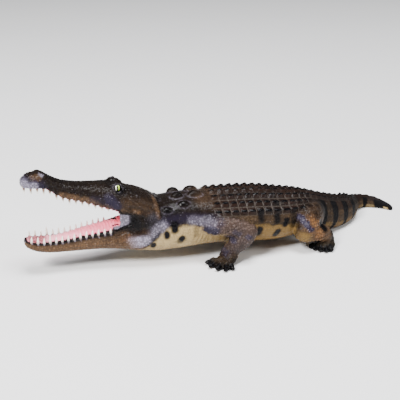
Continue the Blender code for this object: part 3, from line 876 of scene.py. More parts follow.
# The cream's upper edge: distance along the spine, degrees from the top
CREAM_EDGE = (
    (0, 150), (18, 148), (30, 130), (37, 110), (42, 96), (50, 82), (71, 82), (84, 85), (100, 92), (128, 94),
    (152, 91), (178, 92), (200, 98), (236, 108), (270, 112), (300, 108), (340, 104), (384, 104),
)
# Colours of the head's side, with painted highlights and painted shade: x and z of both ends, radius,
# strength
CHEEK_VIOLET = (
    (-110, 80, -104, 73, 5.0, 0.9), (-126, 80, -112, 76, 4.0, 0.4), (-196, 102, -180, 97, 7.0, 0.9),
)
CHEEK_TAN = (
    (-158, 85, -128, 77, 4.0, 0.9), (-128, 77, -106, 69, 3.0, 0.5), (-92, 74, -70, 68, 7.0, 0.25),
    (-185, 107, -180, 108, 3.0, 0.45),
    (-96, 67, -82, 66, 2.5, 0.7), (-61, 74, -59, 58, 2.2, 0.7), (-100, 40, -76, 40, 6.0, 0.5),
)
# lavender over the snout's tip, and a painted highlight on the nostril's bump
SNOUT_LAVENDER_AND_HIGHLIGHT = ((-196, 101, -185, 97.5, 5.0, 1.0), (-177.5, 112, -175.5, 110, 1.6, 0.8))
# painted shade in the crease below the membrane at the mouth's corner
MOUTH_CREASE_SHADE = (
    (-104, 45.0, -98.7, 46.4, 1.2, 0.8),
    (-98.7, 46.4, -89.0, 50.8, 2.0, 0.75),
    (-89.0, 51.0, -84.5, 60.0, 2.2, 0.5),
)
CHIN_WINE = ((-190, 37, -180, 38, 6.0, 1.0),)
BAND_START, BAND_PITCH, BAND_HALF_WIDTH = 238.0, 19.5, 4.4
TIP_BLACK_FROM, TIP_CREAM = 376.5, (383.5, 390.0)
MARK_RIM = (1.6, 0.4)  # a mark fades in between these shares of its radius


def soft_marks(table, along_body, z, wobble):
    mask = np.zeros(len(along_body))
    for mark in table:
        reach = line_distance(along_body, z, mark) + wobble
        outside, inside = (mark[4] * share for share in MARK_RIM)
        mask = np.maximum(mask, mark[5] * smooth(outside, inside, reach))
    return mask


def head_paint(points, outward, wobble):
    """The head's own colours with its painted highlights and shade, with outward 1 on skin that faces away
    from the mouth.
    """
    x, z, wide = points[:, 0], points[:, 2], np.abs(points[:, 1])
    head = smooth(-50, -62, x)
    side = outward * smooth(4, 8, wide + 8 * smooth(-186, -192, x))
    _, lip, top = at_x(SKULL, x)
    _, chin, lip_below = at_x(JAW, x)
    upper, lower = (z - lip) / (top - lip), (lip_below - z) / (lip_below - chin)
    jaw = smooth(1.5, -0.5, z - lip_below) * smooth(-72, -84, x)
    membrane = smooth(-106.5, -104.5, x + 0.27 * (z - 45)) * smooth(-87, -93, x) * smooth(63.5, 61.5, z)
    membrane *= smooth(-1.0, 1.0, z - 47.0 - np.maximum(x + 98.7, 0) * 0.45) * side * smooth(16, 19, wide)
    teeth_below = smooth(-104, -108, x) * jaw * outward
    gums = smooth(-0.25, -0.02, lower) * smooth(0.27, 0.17, lower) * teeth_below
    wave = tooth_wave(x, LOWER_TEETH)
    lips_above = smooth(0.2, 0.08, upper) * smooth(-0.4, -0.2, upper) * smooth(-104, -112, x) * outward
    cheek = smooth(18.0, 20.5, wide) * outward
    # painted shade along the crease at the mouth's corner
    crease = soft_marks(MOUTH_CREASE_SHADE, x, z, wobble * 0.3) * cheek
    dark = np.maximum(0.7 * gums * smooth(0.85, 0.45, wave), crease)
    dark = np.maximum(dark, 0.8 * smooth(-193.0, -195.0, x) * smooth(36, 39, z) * smooth(60, 50, z))
    dark = np.maximum(dark, 0.6 * lips_above * smooth(0.7, 0.95, tooth_wave(x, UPPER_TEETH)))
    lid, lid_out = lid_ring(points)
    dark = np.maximum(dark, smooth(1.16, 1.0, lid) * lid_out)
    # pale membrane, painted highlights as glints on the gum at each lower tooth, and the snout's lavender
    # with its painted highlight
    lavender_and_highlight = np.maximum(membrane, gums * smooth(0.75, 0.95, wave) * 0.8)
    lavender_and_highlight = np.maximum(lavender_and_highlight, soft_marks(SNOUT_LAVENDER_AND_HIGHLIGHT, x, z, wobble) * side)
    lavender_and_highlight = np.maximum(lavender_and_highlight, 0.35 * hump(lid, 1.25, 0.10) * lid_out)
    tan = np.maximum(soft_marks(CHEEK_TAN, x, z, wobble) * side, smooth(0.12, 0.4, lower) * jaw)
    return {
        "dark": dark * head, "lavender_and_highlight": lavender_and_highlight * head, "tan": tan * head * (1 - membrane),
        "violet": soft_marks(CHEEK_VIOLET, x, z, wobble) * side * head * (1 - 0.5 * membrane),
    }


def cream_paint(x, z, distance, around, wobble, head, limb):
    """Cream up to an edge that follows the body, on the upper arm, and under the tail's tip."""
    edge = np.interp(distance, *np.array(CREAM_EDGE, float).T) + wobble * 2.5
    cream = smooth(-3, 7, around - edge) * (1 - 0.5 * smooth(225, 260, distance))
    cream = cream * (1 - 0.3 * smooth(300, 330, distance))
    upper_arm = limb * smooth(66, 76, distance) * smooth(117, 107, distance)
    arm_patch = 0.8 * smooth(37, 32, z + wobble) * smooth(22, 27, z)
    cream = np.where(upper_arm > 0.3, arm_patch, cream * (1 - limb))
    cream = cream * (1 - head * smooth(-88, -96, x))
    first, last = TIP_CREAM
    tip = smooth(first - 1, first + 1, distance) * smooth(last + 1, last - 1, distance)
    return np.maximum(cream * smooth(377, 371, distance), tip * smooth(84, 104, around))


def dark_paint(z, distance, around, wobble, on_trunk, on_side, cream, lavender_and_highlight):
    """Bands round the tail, its dark top and tip, the spots on flank and legs, and painted shadow between
    flank and thigh.
    """
    bands = np.abs((distance - BAND_START + BAND_PITCH / 2) % BAND_PITCH - BAND_PITCH / 2)
    band_width = BAND_HALF_WIDTH * (1.15 - 0.35 * smooth(70, 130, around))
    dark = smooth(band_width * 1.15, band_width * 0.7, bands + wobble * 0.4)
    fainter = 0.6 * smooth(304, 312, distance) * smooth(352, 346, distance)
    dark = dark * smooth(228, 234, distance) * on_trunk * smooth(25, 45, around) * (1 - fainter)
    tip = smooth(TIP_BLACK_FROM, TIP_BLACK_FROM + 2, distance) * (1 - cream)
    half_turn = 42 + 24 * smooth(296, 312, distance)
    tail_top = smooth(225, 240, distance) * smooth(0, 16, half_turn - around)
    # black spots, and painted shadow between flank and thigh
    spots = soft_marks(SPOTS_AND_SHADE_MARKS, distance, z, wobble * 0.35) * on_side * (1 - lavender_and_highlight)
    return np.maximum.reduce([dark, tip, 0.4 * tail_top, spots])


def tan_paint(z, distance, around, on_trunk, thigh, front_leg):
    """Tan on both legs, under the tail, on the flank below the plates, and over the shoulders."""
    arm = 0.45 * front_leg * smooth(5, 14, z)
    leg = thigh * smooth(9, 13, z) * (0.3 + 0.4 * smooth(42, 30, z))
    tail = 0.4 * smooth(232, 246, distance) * smooth(74, 104, around) * on_trunk
    flank = 0.35 * smooth(96, 82, around) * smooth(62, 76, around) * smooth(100, 130, distance)
    shoulders = 0.35 * smooth(70, 30, around) * smooth(78, 92, distance) * smooth(118, 100, distance)
    return np.maximum.reduce([arm, leg, tail, flank * on_trunk, shoulders])


# Each smooth(a, b, value) is one soft edge: in degrees from the top for around, and in shares for
# distance along the spine, for x and for height.
def paint_masks(points, normals):
    x, z = points[:, 0], points[:, 2]
    distance, turn, out = spine_places(points)
    around = np.abs(turn)
    wobble = (cells(points, 8.0, 5) - 0.5) * 2.2
    sideways = normals[:, 1] * np.sign(points[:, 1])
    outward = smooth(-0.2, 0.2, sideways + 0.25 * smooth(-90, -70, x))
    outward = np.maximum(outward, smooth(0.3, 0.6, -normals[:, 0]) * smooth(-184, -190, x))
    mouth = mouth_of(points) * smooth(0.75, 0.35, sideways)
    head, on_trunk, on_side = smooth(-62, -76, x), smooth(0.2, 0.08, out), smooth(50, 66, around)
    limb = (1 - on_trunk) * (1 - head)
    thigh = limb * smooth(185, 192, distance) * smooth(228, 220, distance)
    front_leg = limb * smooth(76, 100, distance) * smooth(175, 165, distance)
    masks = head_paint(points, outward, wobble)

    cream = cream_paint(x, z, distance, around, wobble, head, limb)
    dark = dark_paint(z, distance, around, wobble, on_trunk, on_side, cream, masks["lavender_and_highlight"])
    shields = shield_marks(distance, turn)
    shield_tops = 0.6 * smooth(0.95, 0.6, shields) * (1 - head)
    masks["dark"] = np.maximum.reduce([masks["dark"], dark, shield_tops])

    # lavender paint with painted highlights on the throat, shoulder and thigh
    lavender_and_highlight = soft_marks(LAVENDER_AND_HIGHLIGHT_MARKS, distance, z, wobble) * on_side * (1 - head * smooth(34, 42, z))
    lavender_and_highlight = lavender_and_highlight * smooth(-96, -78, x + 0.5 * (z - 30)) * (1 - 0.8 * cream)
    # painted highlights round the rims of the neck shields
    shield_rim_highlights = 0.25 * hump(shields, 1.12, 0.1) * (1 - head)
    on_leg = 0.09 * front_leg * smooth(10, 18, z)
    masks["lavender_and_highlight"] = np.maximum.reduce([masks["lavender_and_highlight"], lavender_and_highlight, shield_rim_highlights, on_leg])
    violet = soft_marks(VIOLET_MARKS, distance, z, wobble) * on_side * (1 - head)
    masks["violet"] = np.maximum(masks["violet"], violet)
    tan = tan_paint(z, distance, around, on_trunk, thigh, front_leg)
    masks["tan"] = np.maximum(masks["tan"], tan)

    thigh_rim = smooth(30, 24, z + 0.25 * (distance - 190)) * smooth(11, 15, z)
    thigh_rim = thigh_rim * smooth(202, 194, distance)
    masks["cream"] = np.maximum(cream, thigh * thigh_rim)
    orange = soft_marks(ORANGE_MARKS, distance, z, wobble) * on_side
    below = smooth(138, 160, around) * smooth(20, 60, distance) * on_trunk
    masks["orange"] = np.maximum(orange, 0.5 * below)
    flank = smooth(62, 76, around) * smooth(110, 130, distance) * on_trunk
    tail = smooth(228, 240, distance) * smooth(30, 50, around) * on_trunk
    masks["olive"] = np.maximum.reduce([flank, tail, 0.7 * smooth(14, 8, z) * limb])
    masks.update(pink=mouth, toe_end=toe_ends(points), spine=distance, turn=turn)
    masks["warmth"] = smooth(60, 150, distance) * smooth(352, 340, distance)
    masks["throat"] = smooth(-175, -100, x)
    masks["belly_dots"] = smooth(112, 128, around) * smooth(140, 110, distance)
    masks["plated"] = smooth(72, 66, around) * smooth(-3, 3, distance - FIRST_SCUTE) * on_trunk
    masks["row"] = around / SCUTE_ROW_DEGREES
    masks["wine"] = soft_marks(CHIN_WINE, x, z, wobble)
    return masks


def toe_ends(points):
    """1 at the ends of the toes, which are dipped in black, and painted shade in the gaps between them."""
    t, off = toe_places(points)
    dipped = smooth(0.66, 0.84, t) * smooth(7.0, 5.0, off)
    # painted shade in the grooves between the toes
    gaps = 0.5 * smooth(0.52, 0.72, t) * smooth(2.0, 3.2, off) * smooth(9.0, 7.0, off)
    return np.maximum(dipped, gaps)


points, normals = points_and_normals(skin.data)
for name, values in paint_masks(in_shares(points), normals).items():
    skin.data.attributes.new(name, "FLOAT", "POINT").data.foreach_set("value", values.astype(np.float32))
print("masks:", ", ".join(a.name for a in skin.data.attributes if a.data_type == "FLOAT"))

# %% [markdown]
# The teeth are slender and slightly hooked. Each is a cone with a few rings, tapered and bent by
# its height, with its root sunk in the gum so that no gap shows.

# %% Teeth
TOOTH_RADIUS, TOOTH_ROOT, TOOTH_INSET = 1.55, 2.6, 1.9
TOOTH_SIDES, TOOTH_RINGS = 10, 6
TOOTH_TAPER, TOOTH_TIP = 0.6, 0.15
HOOK_BACK, HOOK_IN, LEAN_FORWARD, LEAN_OUT = 0.5, -0.4, -0.05, 0.16
UPPER_LENGTHS = (6.2, 6.6, 5.4, 7.6, 5.6, 6.0, 5.4, 5.8, 5.0, 5.4, 4.6, 5.0, 4.4, 3.8)
LOWER_LENGTHS = (6.0, 6.8, 5.8, 9.6, 6.6, 6.8, 6.0, 6.2, 5.6, 6.0, 5.4, 5.2, 4.8, 4.2)


def tooth(base, lean, length):
    bm = bmesh.new()
    bmesh.ops.create_cone(bm, cap_ends=True, segments=TOOTH_SIDES, radius1=1.0, radius2=1.0, depth=1.0)
    uprights = [e for e in bm.edges if abs(e.verts[0].co.z - e.verts[1].co.z) > 0.5]
    bmesh.ops.subdivide_edges(bm, edges=uprights, cuts=TOOTH_RINGS, use_grid_fill=True)
    whole = length + TOOTH_ROOT
    hook = Vector((HOOK_BACK, HOOK_IN * math.copysign(1.0, lean[1]), 0.0))
    turn = Vector((0, 0, 1)).rotation_difference(Vector(lean)).to_matrix()
    way_layer = bm.verts.layers.float.new("way")
    for vert in bm.verts:
        way = vert[way_layer] = vert.co.z + 0.5
        radius = TOOTH_RADIUS * (1 - way) ** TOOTH_TAPER + TOOTH_TIP
        spot = Vector((vert.co.x * radius, vert.co.y * radius, way * whole - TOOTH_ROOT))
        vert.co = Vector(in_metres(Vector(base) + turn @ spot + hook * way**2))
    bmesh.ops.recalc_face_normals(bm, faces=bm.faces)
    return bm


def tooth_row(name, stations, first_last, lengths, way):
    teeth = []
    for x, length in zip(np.linspace(*first_last, TEETH_IN_ROW), lengths):
        half_width, low, high = (float(v) for v in at_x(stations, x))
        inset = half_width - TOOTH_INSET
        curve = (1 - (inset / half_width) ** LIP_POWER) ** (1 / LIP_POWER)
        lip = (low + high) / 2 + way * (high - low) / 2 * curve
        for side in (-1, 1):
            lean = (LEAN_FORWARD, LEAN_OUT * side, way)
            teeth.append(tooth((x, side * inset, lip), lean, length))
    row = object_from(joined(teeth), name)
    row.data.shade_smooth()
    print(name, len(teeth), "teeth")
    return row


upper_teeth = tooth_row("upper_teeth", SKULL, UPPER_TEETH, UPPER_LENGTHS, -1)
lower_teeth = tooth_row("lower_teeth", JAW, LOWER_TEETH, LOWER_LENGTHS, 1)

# %% [markdown]
# A claw is a short blunt hook on top of each toe's end. It is glossier than the toe, so it is its
# own piece: a ball, stretched along the toe and drawn to a point at the front.

# %% Claws
CLAW_LENGTH, CLAW_WIDTH, CLAW_HEIGHT = 2.7, 1.9, 1.7
CLAW_NARROWING, CLAW_DROOP = 0.25, 1.2
CLAW_FROM_TIP, CLAW_RISE = 1.9, 3.1  # its middle from the toe's tip, and above the floor


def claw(knuckle, tip, about):
    ends = np.array([[*knuckle, 0.0], [*tip, 0.0]])
    if about:
        ends = mirror_points(ends, about)
    run = Vector(ends[1] - ends[0]).normalized()
    bm = bmesh.new()
    bmesh.ops.create_uvsphere(bm, u_segments=16, v_segments=12, radius=1.0)
    for vert in bm.verts:
        front = (vert.co.x + 1) / 2
        narrow = 1 - CLAW_NARROWING * front**2
        droop = CLAW_DROOP * front**2
        vert.co = Vector((
            vert.co.x * CLAW_LENGTH,
            vert.co.y * CLAW_WIDTH * narrow,
            vert.co.z * CLAW_HEIGHT * narrow - droop,
        ))
    turn = Vector((1, 0, 0)).rotation_difference(run).to_matrix().to_4x4()
    centre = Vector(ends[1]) - run * CLAW_FROM_TIP + Vector((0, 0, CLAW_RISE))
    bmesh.ops.transform(bm, matrix=turn, verts=bm.verts)
    for vert in bm.verts:
        spot = Vector(in_metres(vert.co + centre))
        vert.co = [min(max(v, low), high) for v, low, high in zip(spot, cad_low, cad_high)]
    return bm


claw_meshes = []
for knuckle, toes, about in FEET:
    for tip in toes:
        claw_meshes += [claw(knuckle, tip, None), claw(knuckle, tip, about)]
print(len(claw_meshes), "claws")
claws = object_from(joined(claw_meshes), "claws")
claws.data.shade_smooth()

# %% [markdown]
# Each eye is a glossy ball behind the lids. Its slit and iris are drawn from two numbers stored on
# the ball's own points: how far along the head and how far up a point lies from the pupil.

# %% Eyes
def eye(name, side):
    bm = bmesh.new()
    bmesh.ops.create_uvsphere(bm, u_segments=48, v_segments=32, radius=EYE_RADIUS * SHARE)
    middle = Vector(in_metres((EYE_CENTRE[0], EYE_CENTRE[1] * side, EYE_CENTRE[2])))
    bmesh.ops.translate(bm, vec=middle, verts=bm.verts)
    ball = object_from(bm, name)
    ball.data.shade_smooth()
    for name_of, axis in (("from_slit", 0), ("up_eye", 2)):
        values = [(vert.co[axis] - middle[axis]) / (EYE_RADIUS * SHARE) for vert in ball.data.vertices]
        ball.data.attributes.new(name_of, "FLOAT", "POINT").data.foreach_set("value", values)
    return ball


left_eye = eye("left_eyeball", -1)
right_eye = eye("right_eyeball", 1)

# %% [markdown]
# Shader maths reads best as plain sums. This small class wraps a socket, and a sum written with it
# adds the Math nodes. Colours go through Mix nodes, because a Math node would turn them grey.

# %% Helpers for materials
class Wire:
    """A number in a shader: sums on it add Math nodes."""

    def __init__(self, finish, socket):
        self.finish = finish
        self.socket = socket

    def maths(self, operation, *values):
        node = self.finish.node("ShaderNodeMath", {"operation": operation}, dict(enumerate(values)))
        return Wire(self.finish, node.outputs[0])

    def __add__(self, other):
        return self.maths("ADD", self, other)

    def __radd__(self, other):
        return self.maths("ADD", other, self)

    def __sub__(self, other):
        return self.maths("SUBTRACT", self, other)

    def __rsub__(self, other):
        return self.maths("SUBTRACT", other, self)

    def __mul__(self, other):
        return self.maths("MULTIPLY", self, other)

    def __rmul__(self, other):
        return self.maths("MULTIPLY", other, self)

    def absolute(self):
        return self.maths("ABSOLUTE", self)

    def fraction(self):
        return self.maths("FRACT", self)

    def lowest(self, other):
        return self.maths("MINIMUM", self, other)

    def clamped(self):
        node = self.finish.node("ShaderNodeClamp", {}, {"Value": self})
        return Wire(self.finish, node.outputs[0])

    def between(self, low, high):
        """0 at low, 1 at high, and clamped outside."""
        node = self.finish.node("ShaderNodeMapRange", {}, {"Value": self, "From Min": low, "From Max": high})
        return Wire(self.finish, node.outputs[0])


class Finish:
    """A material under construction, with its Principled shader."""

    def __init__(self, name):
        self.material = bpy.data.materials.new(name)
        self.material.use_nodes = True
        self.tree = self.material.node_tree
        self.shader = self.tree.nodes["Principled BSDF"]
        self.place = self.node("ShaderNodeTexCoord", {}, {}).outputs["Object"]

    def node(self, kind, settings, inputs):
        made = self.tree.nodes.new(kind)
        for setting, value in settings.items():
            setattr(made, setting, value)
        for key, value in inputs.items():
            self.feed(made.inputs[key], value)
        return made

    def feed(self, socket, value):
        source = value.socket if isinstance(value, Wire) else value
        if isinstance(source, bpy.types.NodeSocket):
            self.tree.links.new(source, socket)
        elif hasattr(source, "__len__") and len(source) == 3 and socket.type == "RGBA":
            socket.default_value = (*source, 1.0)
        else:
            socket.default_value = source

    def set(self, **values):
        for key, value in values.items():
            self.feed(self.shader.inputs[key.replace("_", " ")], value)

    def attribute(self, name):
        return Wire(self, self.node("ShaderNodeAttribute", {"attribute_name": name}, {}).outputs["Fac"])

    def noise(self, scale, detail=3.0):
        made = self.node("ShaderNodeTexNoise", {}, {"Vector": self.place, "Scale": scale, "Detail": detail})
        return Wire(self, made.outputs[0])

    def cells(self, scale):
        made = self.node("ShaderNodeTexVoronoi", {}, {"Vector": self.place, "Scale": scale})
        return Wire(self, made.outputs["Distance"])

    def mix(self, low, high, factor):
        made = self.node("ShaderNodeMix", {"data_type": "RGBA"}, {0: factor, 6: low, 7: high})
        return made.outputs[2]

    def bump(self, height, strength, distance):
        made = self.node("ShaderNodeBump", {}, {"Height": height, "Strength": strength, "Distance": distance})
        self.feed(self.shader.inputs["Normal"], made.outputs[0])


# %% [markdown]
# The skin's colours are laid on in the order of the spray booth: a brown ground, olive and tan on
# the sides, cream below, lavender and violet mist, then black marks and dark keels, and pink in
# the mouth. Painted light goes in with them: the lavender stands partly for highlights on the
# gloss, and lavender glints on the scales, light lines along the plates' edges and pale rims on
# the neck shields are painted highlights. Some of the black is painted shade. The gloss changes a
# little with the grain, which breaks up the highlights as on vinyl.

# %% Painted skin
GROUND, UMBER = (0.0036, 0.0029, 0.0032), (0.0115, 0.0072, 0.0056)
OLIVE, TAN_PAINT, ORANGE = (0.0140, 0.0115, 0.0062), (0.155, 0.088, 0.046), (0.200, 0.085, 0.026)
CREAM_PAINT, CREAM_WARM, CREAM_BROWN = (0.360, 0.265, 0.126), (0.145, 0.088, 0.030), (0.075, 0.036, 0.013)
VIOLET_PAINT, LAVENDER = (0.0150, 0.0118, 0.0230), (0.275, 0.250, 0.320)
# GROOVE_HIGHLIGHT: painted highlights along the plates' edges
BLACK_PAINT, GROOVE_HIGHLIGHT = (0.0015, 0.0013, 0.0018), (0.070, 0.056, 0.046)
PLATE_BROWN, DRAB = (0.0160, 0.0085, 0.0065), (0.022, 0.0165, 0.0085)
CLOUDS, GRAINS, GLINT_SPECKLES, BELLY_DOTS, PITS = 26.0, 240.0, 360.0, 420.0, 430.0  # in a metre
TAIL_MATT, TAIL_STARTS = 0.35, (212, 228)  # the tail is less glossy from here on
KEEL_LINE = 0.44  # where the dark ridge runs across a row, from the middle of the back outwards
PINK_PAINT, DEEP_PINK, WINE = (0.980, 0.440, 0.510), (0.980, 0.230, 0.340), (0.180, 0.020, 0.020)


def plate_lines(paint):
    """Grooves round the back plates, whose light lines are painted highlights, and the dark ridge of each,
    from each spot's place on the spine.
    """
    spine, turn = paint.attribute("spine"), paint.attribute("turn")
    pitches = (spine - FIRST_SCUTE) * (1 / SCUTE_PITCH)
    rows = turn.absolute() * (1 / SCUTE_ROW_DEGREES)
    t, w = pitches.fraction(), rows.fraction()
    from_ends, from_sides = 0.5 - (t - 0.5).absolute(), 0.5 - (w - 0.5).absolute()
    covered = rows.between(4.05, 3.95) * pitches.between(0.0, 0.3) * spine.between(ROWS_END + 16, ROWS_END)
    covered = covered * (1 - spine.between(190, 240) * rows.between(1.6, 2.6))
    groove = from_ends.lowest(from_sides).between(0.11, 0.03) * covered
    arc = 1 - ((t - 0.55) * 2) * ((t - 0.55) * 2)
    ridge = arc * (w - KEEL_LINE).absolute().between(0.26, 0.0)
    return groove, ridge.between(0.30, 0.55) * covered


def painted_skin():
    paint = Finish("painted_vinyl")
    groove, ridge = plate_lines(paint)
    mask = {name: paint.attribute(name) for name in (
        "cream", "dark", "violet", "lavender_and_highlight", "tan", "olive", "pink", "toe_end", "orange", "warmth", "throat",
        "wine", "edge", "keel", "scale", "plated", "row", "belly_dots")}
    cloud = paint.noise(CLOUDS, 4.0).between(0.36, 0.64)
    grain = paint.noise(GRAINS, 3.0).between(0.32, 0.68)
    glint_speckle = paint.cells(GLINT_SPECKLES).between(0.28, 0.12)
    tips = (mask["scale"] * 1.5 - 0.25).clamped()
    colour = paint.mix(GROUND, UMBER, (cloud * 0.7 + grain * 0.3).clamped())
    colour = paint.mix(colour, OLIVE, (tips * 0.7 * grain).clamped())
    colour = paint.mix(colour, DRAB, (mask["olive"] * (0.45 + 0.55 * tips) * (0.5 + 0.5 * cloud)).clamped())
    tan = mask["tan"] * (0.45 + 0.55 * tips) * (0.5 + 0.5 * cloud)
    colour = paint.mix(colour, TAN_PAINT, tan.clamped())
    orange = mask["orange"] * (0.25 + 0.75 * tips) * (0.4 + 0.6 * grain)
    colour = paint.mix(colour, ORANGE, orange.clamped())
    belly = paint.mix(CREAM_PAINT, CREAM_WARM, (mask["warmth"] + cloud * 0.3 - 0.1).clamped())
    belly = paint.mix(belly, CREAM_BROWN, (mask["orange"] * 0.6 + (0.4 - tips) * 0.4).clamped())
    dots = paint.cells(BELLY_DOTS).between(0.20, 0.10) * mask["belly_dots"]
    belly = paint.mix(belly, CREAM_BROWN, (dots * 0.7).clamped())
    colour = paint.mix(colour, belly, mask["cream"].clamped())
    colour = paint.mix(colour, VIOLET_PAINT, (mask["violet"] * (1.2 - 0.5 * tips)).clamped())
    # lavender paint and painted highlights: the pale patches, lighter on the scales' tops, and specks on
    # violet
    lavender_and_glints = mask["lavender_and_highlight"] * (0.35 + 0.65 * tips) + mask["violet"] * tips * glint_speckle * 0.9
    colour = paint.mix(colour, LAVENDER, lavender_and_glints.clamped())
    # painted highlights: lavender glints on the tops of the scales
    colour = paint.mix(colour, LAVENDER, (glint_speckle * tips * 0.22 * (1 - mask["cream"])).clamped())
    colour = paint.mix(colour, PLATE_BROWN, ((1 - mask["edge"]) * mask["plated"] * cloud).clamped())
    inner = mask["row"].between(1.0, 2.2)
    # painted highlights: light lines along the plates' edges in the grooves
    colour = paint.mix(colour, GROOVE_HIGHLIGHT, (groove * (0.3 + 0.4 * grain) * (0.35 + 0.65 * inner)).clamped())
    colour = paint.mix(colour, BLACK_PAINT, (ridge + mask["keel"].between(0.5, 0.9)).clamped())
    colour = paint.mix(colour, BLACK_PAINT, mask["dark"].between(0.1, 0.85))
    # black toe ends, and painted shade between the toes
    colour = paint.mix(colour, BLACK_PAINT, mask["toe_end"].between(0.1, 0.9))
    gums = paint.mix(PINK_PAINT, DEEP_PINK, (mask["throat"] * 0.85 + cloud * 0.2 - 0.1).clamped())
    gums = paint.mix(gums, WINE, (mask["wine"] * (0.4 + 0.6 * grain)).clamped())
    colour = paint.mix(colour, gums, mask["pink"].between(0.2, 0.8))
    gloss = 0.18 + 0.12 * grain + 0.05 * cloud - 0.05 * mask["violet"] + 0.10 * mask["olive"]
    gloss = gloss + TAIL_MATT * paint.attribute("spine").between(*TAIL_STARTS)
    paint.set(Base_Color=colour, Roughness=gloss.clamped(), Specular_IOR_Level=0.08)
    paint.bump(paint.cells(PITS) * 0.8 + grain * 0.35 - groove * 0.8, 0.4, 0.0006)
    return paint.material


skin.data.materials.clear()
skin.data.materials.append(painted_skin())

# %% [markdown]
# Teeth are ivory, browner at the gum. Claws are glossy black horn. The eye is lime yellow with an
# upright slit and a dark rim, with cream beside the slit that is a paler iris and a painted
# highlight, under a clear coat that catches the light.

# %% Teeth, claws and eyes
IVORY, GUM_BROWN, HORN = (0.90, 0.86, 0.76), (0.16, 0.080, 0.045), (0.0022, 0.0018, 0.0024)
# EYE_CREAM_AND_HIGHLIGHT: a paler iris, and a painted highlight
LIME, EYE_CREAM_AND_HIGHLIGHT, SLIT_AT = (0.40, 0.60, 0.01), (0.80, 0.80, 0.66), -0.10


def tooth_finish(name, gum_share):
    """Ivory that is brown up to this share of the tooth, counted from its root."""
    finish = Finish(name)
    brown_to_ivory = finish.attribute("way") + finish.noise(420.0, 2.0) * 0.16 - 0.08
    finish.set(Base_Color=finish.mix(GUM_BROWN, IVORY, brown_to_ivory.between(gum_share - 0.12, gum_share + 0.2)))
    finish.set(Roughness=0.28, Coat_Weight=0.3)
    finish.bump(finish.noise(900.0), 0.1, 0.0002)
    return finish.material


def claw_finish():
    finish = Finish("horn")
    streak = finish.noise(300.0, 2.0)
    finish.set(Base_Color=finish.mix(HORN, UMBER, streak * 0.4), Roughness=0.24, Specular_IOR_Level=0.35)
    finish.bump(streak, 0.12, 0.0003)
    return finish.material


def eye_finish():
    finish = Finish("eye")
    from_slit, up = finish.attribute("from_slit") - SLIT_AT, finish.attribute("up_eye")
    off_slit = from_slit.absolute() - (0.17 - 0.15 * up * up)
    fibres = finish.noise(700.0, 2.0)
    # cream beside the slit: a paler iris, and a painted highlight on the eye
    iris = finish.mix(LIME, EYE_CREAM_AND_HIGHLIGHT, (from_slit.between(-0.1, -0.2) + fibres * 0.1).clamped())
    rim = (from_slit - 0.03).absolute().between(0.45, 0.55) + up.between(0.72, 0.85) + up.between(-0.35, -0.5)
    slit = finish.mix(BLACK_PAINT, iris, off_slit.between(-0.02, 0.04))
    colour = finish.mix(slit, BLACK_PAINT, rim.clamped())
    finish.set(Base_Color=colour, Roughness=0.15, Coat_Weight=0.15, Coat_Roughness=0.03)
    return finish.material


horn, eye_paint = claw_finish(), eye_finish()
finishes = (
    (upper_teeth, tooth_finish("ivory_brown_up_to_middle", 0.62)), (lower_teeth, tooth_finish("ivory", 0.28)),
    (claws, horn), (left_eye, eye_paint), (right_eye, eye_paint),
)
for piece, finish in finishes:
    piece.data.materials.append(finish)

# %% [markdown]
# Every piece is tied to the solid's one body. The skin stands for the solid's body, and each
# eyeball for its own, so the plain solids are hidden.

# %% Tie the pieces to the solid
for piece in (skin, upper_teeth, lower_teeth, claws, left_eye, right_eye):
    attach(piece, "root")
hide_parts("body")
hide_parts("eye_left")
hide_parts("eye_right")

# %% [markdown]
# The camera looks down on the figure from its left and a little from the front, as the photograph
# does. The studio is a pale floor, a large soft lamp at the front left for the highlights on the
# shoulder and snout, a larger one overhead, and a weak one that fills the shadows.

# %% Camera, floor and lights
CAMERA_AZIMUTH, CAMERA_ELEVATION = -18.0, 20.0
CAMERA_TARGET, CAMERA_DISTANCE = (0.0, 15.0, 55.0), 1000.0  # shares
LENS_IN_WIDTHS = 900 / 400  # the lens length over the picture's width
SENSOR = 36.0


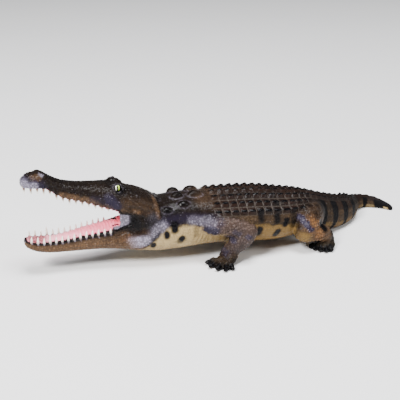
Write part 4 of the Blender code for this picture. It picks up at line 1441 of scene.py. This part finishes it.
def direction(azimuth, elevation):
    a, e = math.radians(azimuth), math.radians(elevation)
    return Vector((math.sin(a) * math.cos(e), -math.cos(a) * math.cos(e), math.sin(e)))


target = Vector(in_metres(CAMERA_TARGET))
back = direction(CAMERA_AZIMUTH, CAMERA_ELEVATION)
camera_data = bpy.data.cameras.new("camera")
camera_data.lens = LENS_IN_WIDTHS * SENSOR
camera_data.sensor_width = SENSOR
camera = bpy.data.objects.new("camera", camera_data)
camera.location = target + back * CAMERA_DISTANCE * SHARE
camera.rotation_euler = back.to_track_quat("Z", "Y").to_euler()
bpy.context.scene.collection.objects.link(camera)
bpy.context.scene.camera = camera

FLOOR_SIZE = 12.0
floor_bm = bmesh.new()
bmesh.ops.create_grid(floor_bm, x_segments=1, y_segments=1, size=FLOOR_SIZE / 2)
bmesh.ops.translate(floor_bm, vec=(0, 0, cad_low.z - 0.0002), verts=floor_bm.verts)
floor = object_from(floor_bm, "floor")
floor_finish = Finish("floor_white")
floor_finish.set(Base_Color=floor_finish.mix((0.90, 0.90, 0.91), (0.93, 0.93, 0.93), floor_finish.noise(3.0)))
floor_finish.set(Roughness=0.9)
floor.data.materials.append(floor_finish.material)


def lamp(name, azimuth, elevation, distance, size, power, colour):
    data = bpy.data.lights.new(name, "AREA")
    data.shape = "DISK"
    data.size = size
    data.energy = power
    data.color = colour
    made = bpy.data.objects.new(name, data)
    made.location = direction(azimuth, elevation) * distance
    made.rotation_euler = direction(azimuth, elevation).to_track_quat("Z", "Y").to_euler()
    bpy.context.scene.collection.objects.link(made)


lamp("key", -50, 42, 3.0, 0.9, 150.0, (1.0, 0.98, 0.97))
lamp("top", 10, 80, 3.6, 1.6, 200.0, (0.97, 0.98, 1.0))
lamp("fill", 50, 30, 4.0, 1.4, 60.0, (1.0, 1.0, 1.0))
world = bpy.data.worlds.new("studio")
bpy.context.scene.world = world
world.use_nodes = True
world.node_tree.nodes["Background"].inputs["Color"].default_value = (1.0, 1.0, 1.0, 1.0)
world.node_tree.nodes["Background"].inputs["Strength"].default_value = 0.2
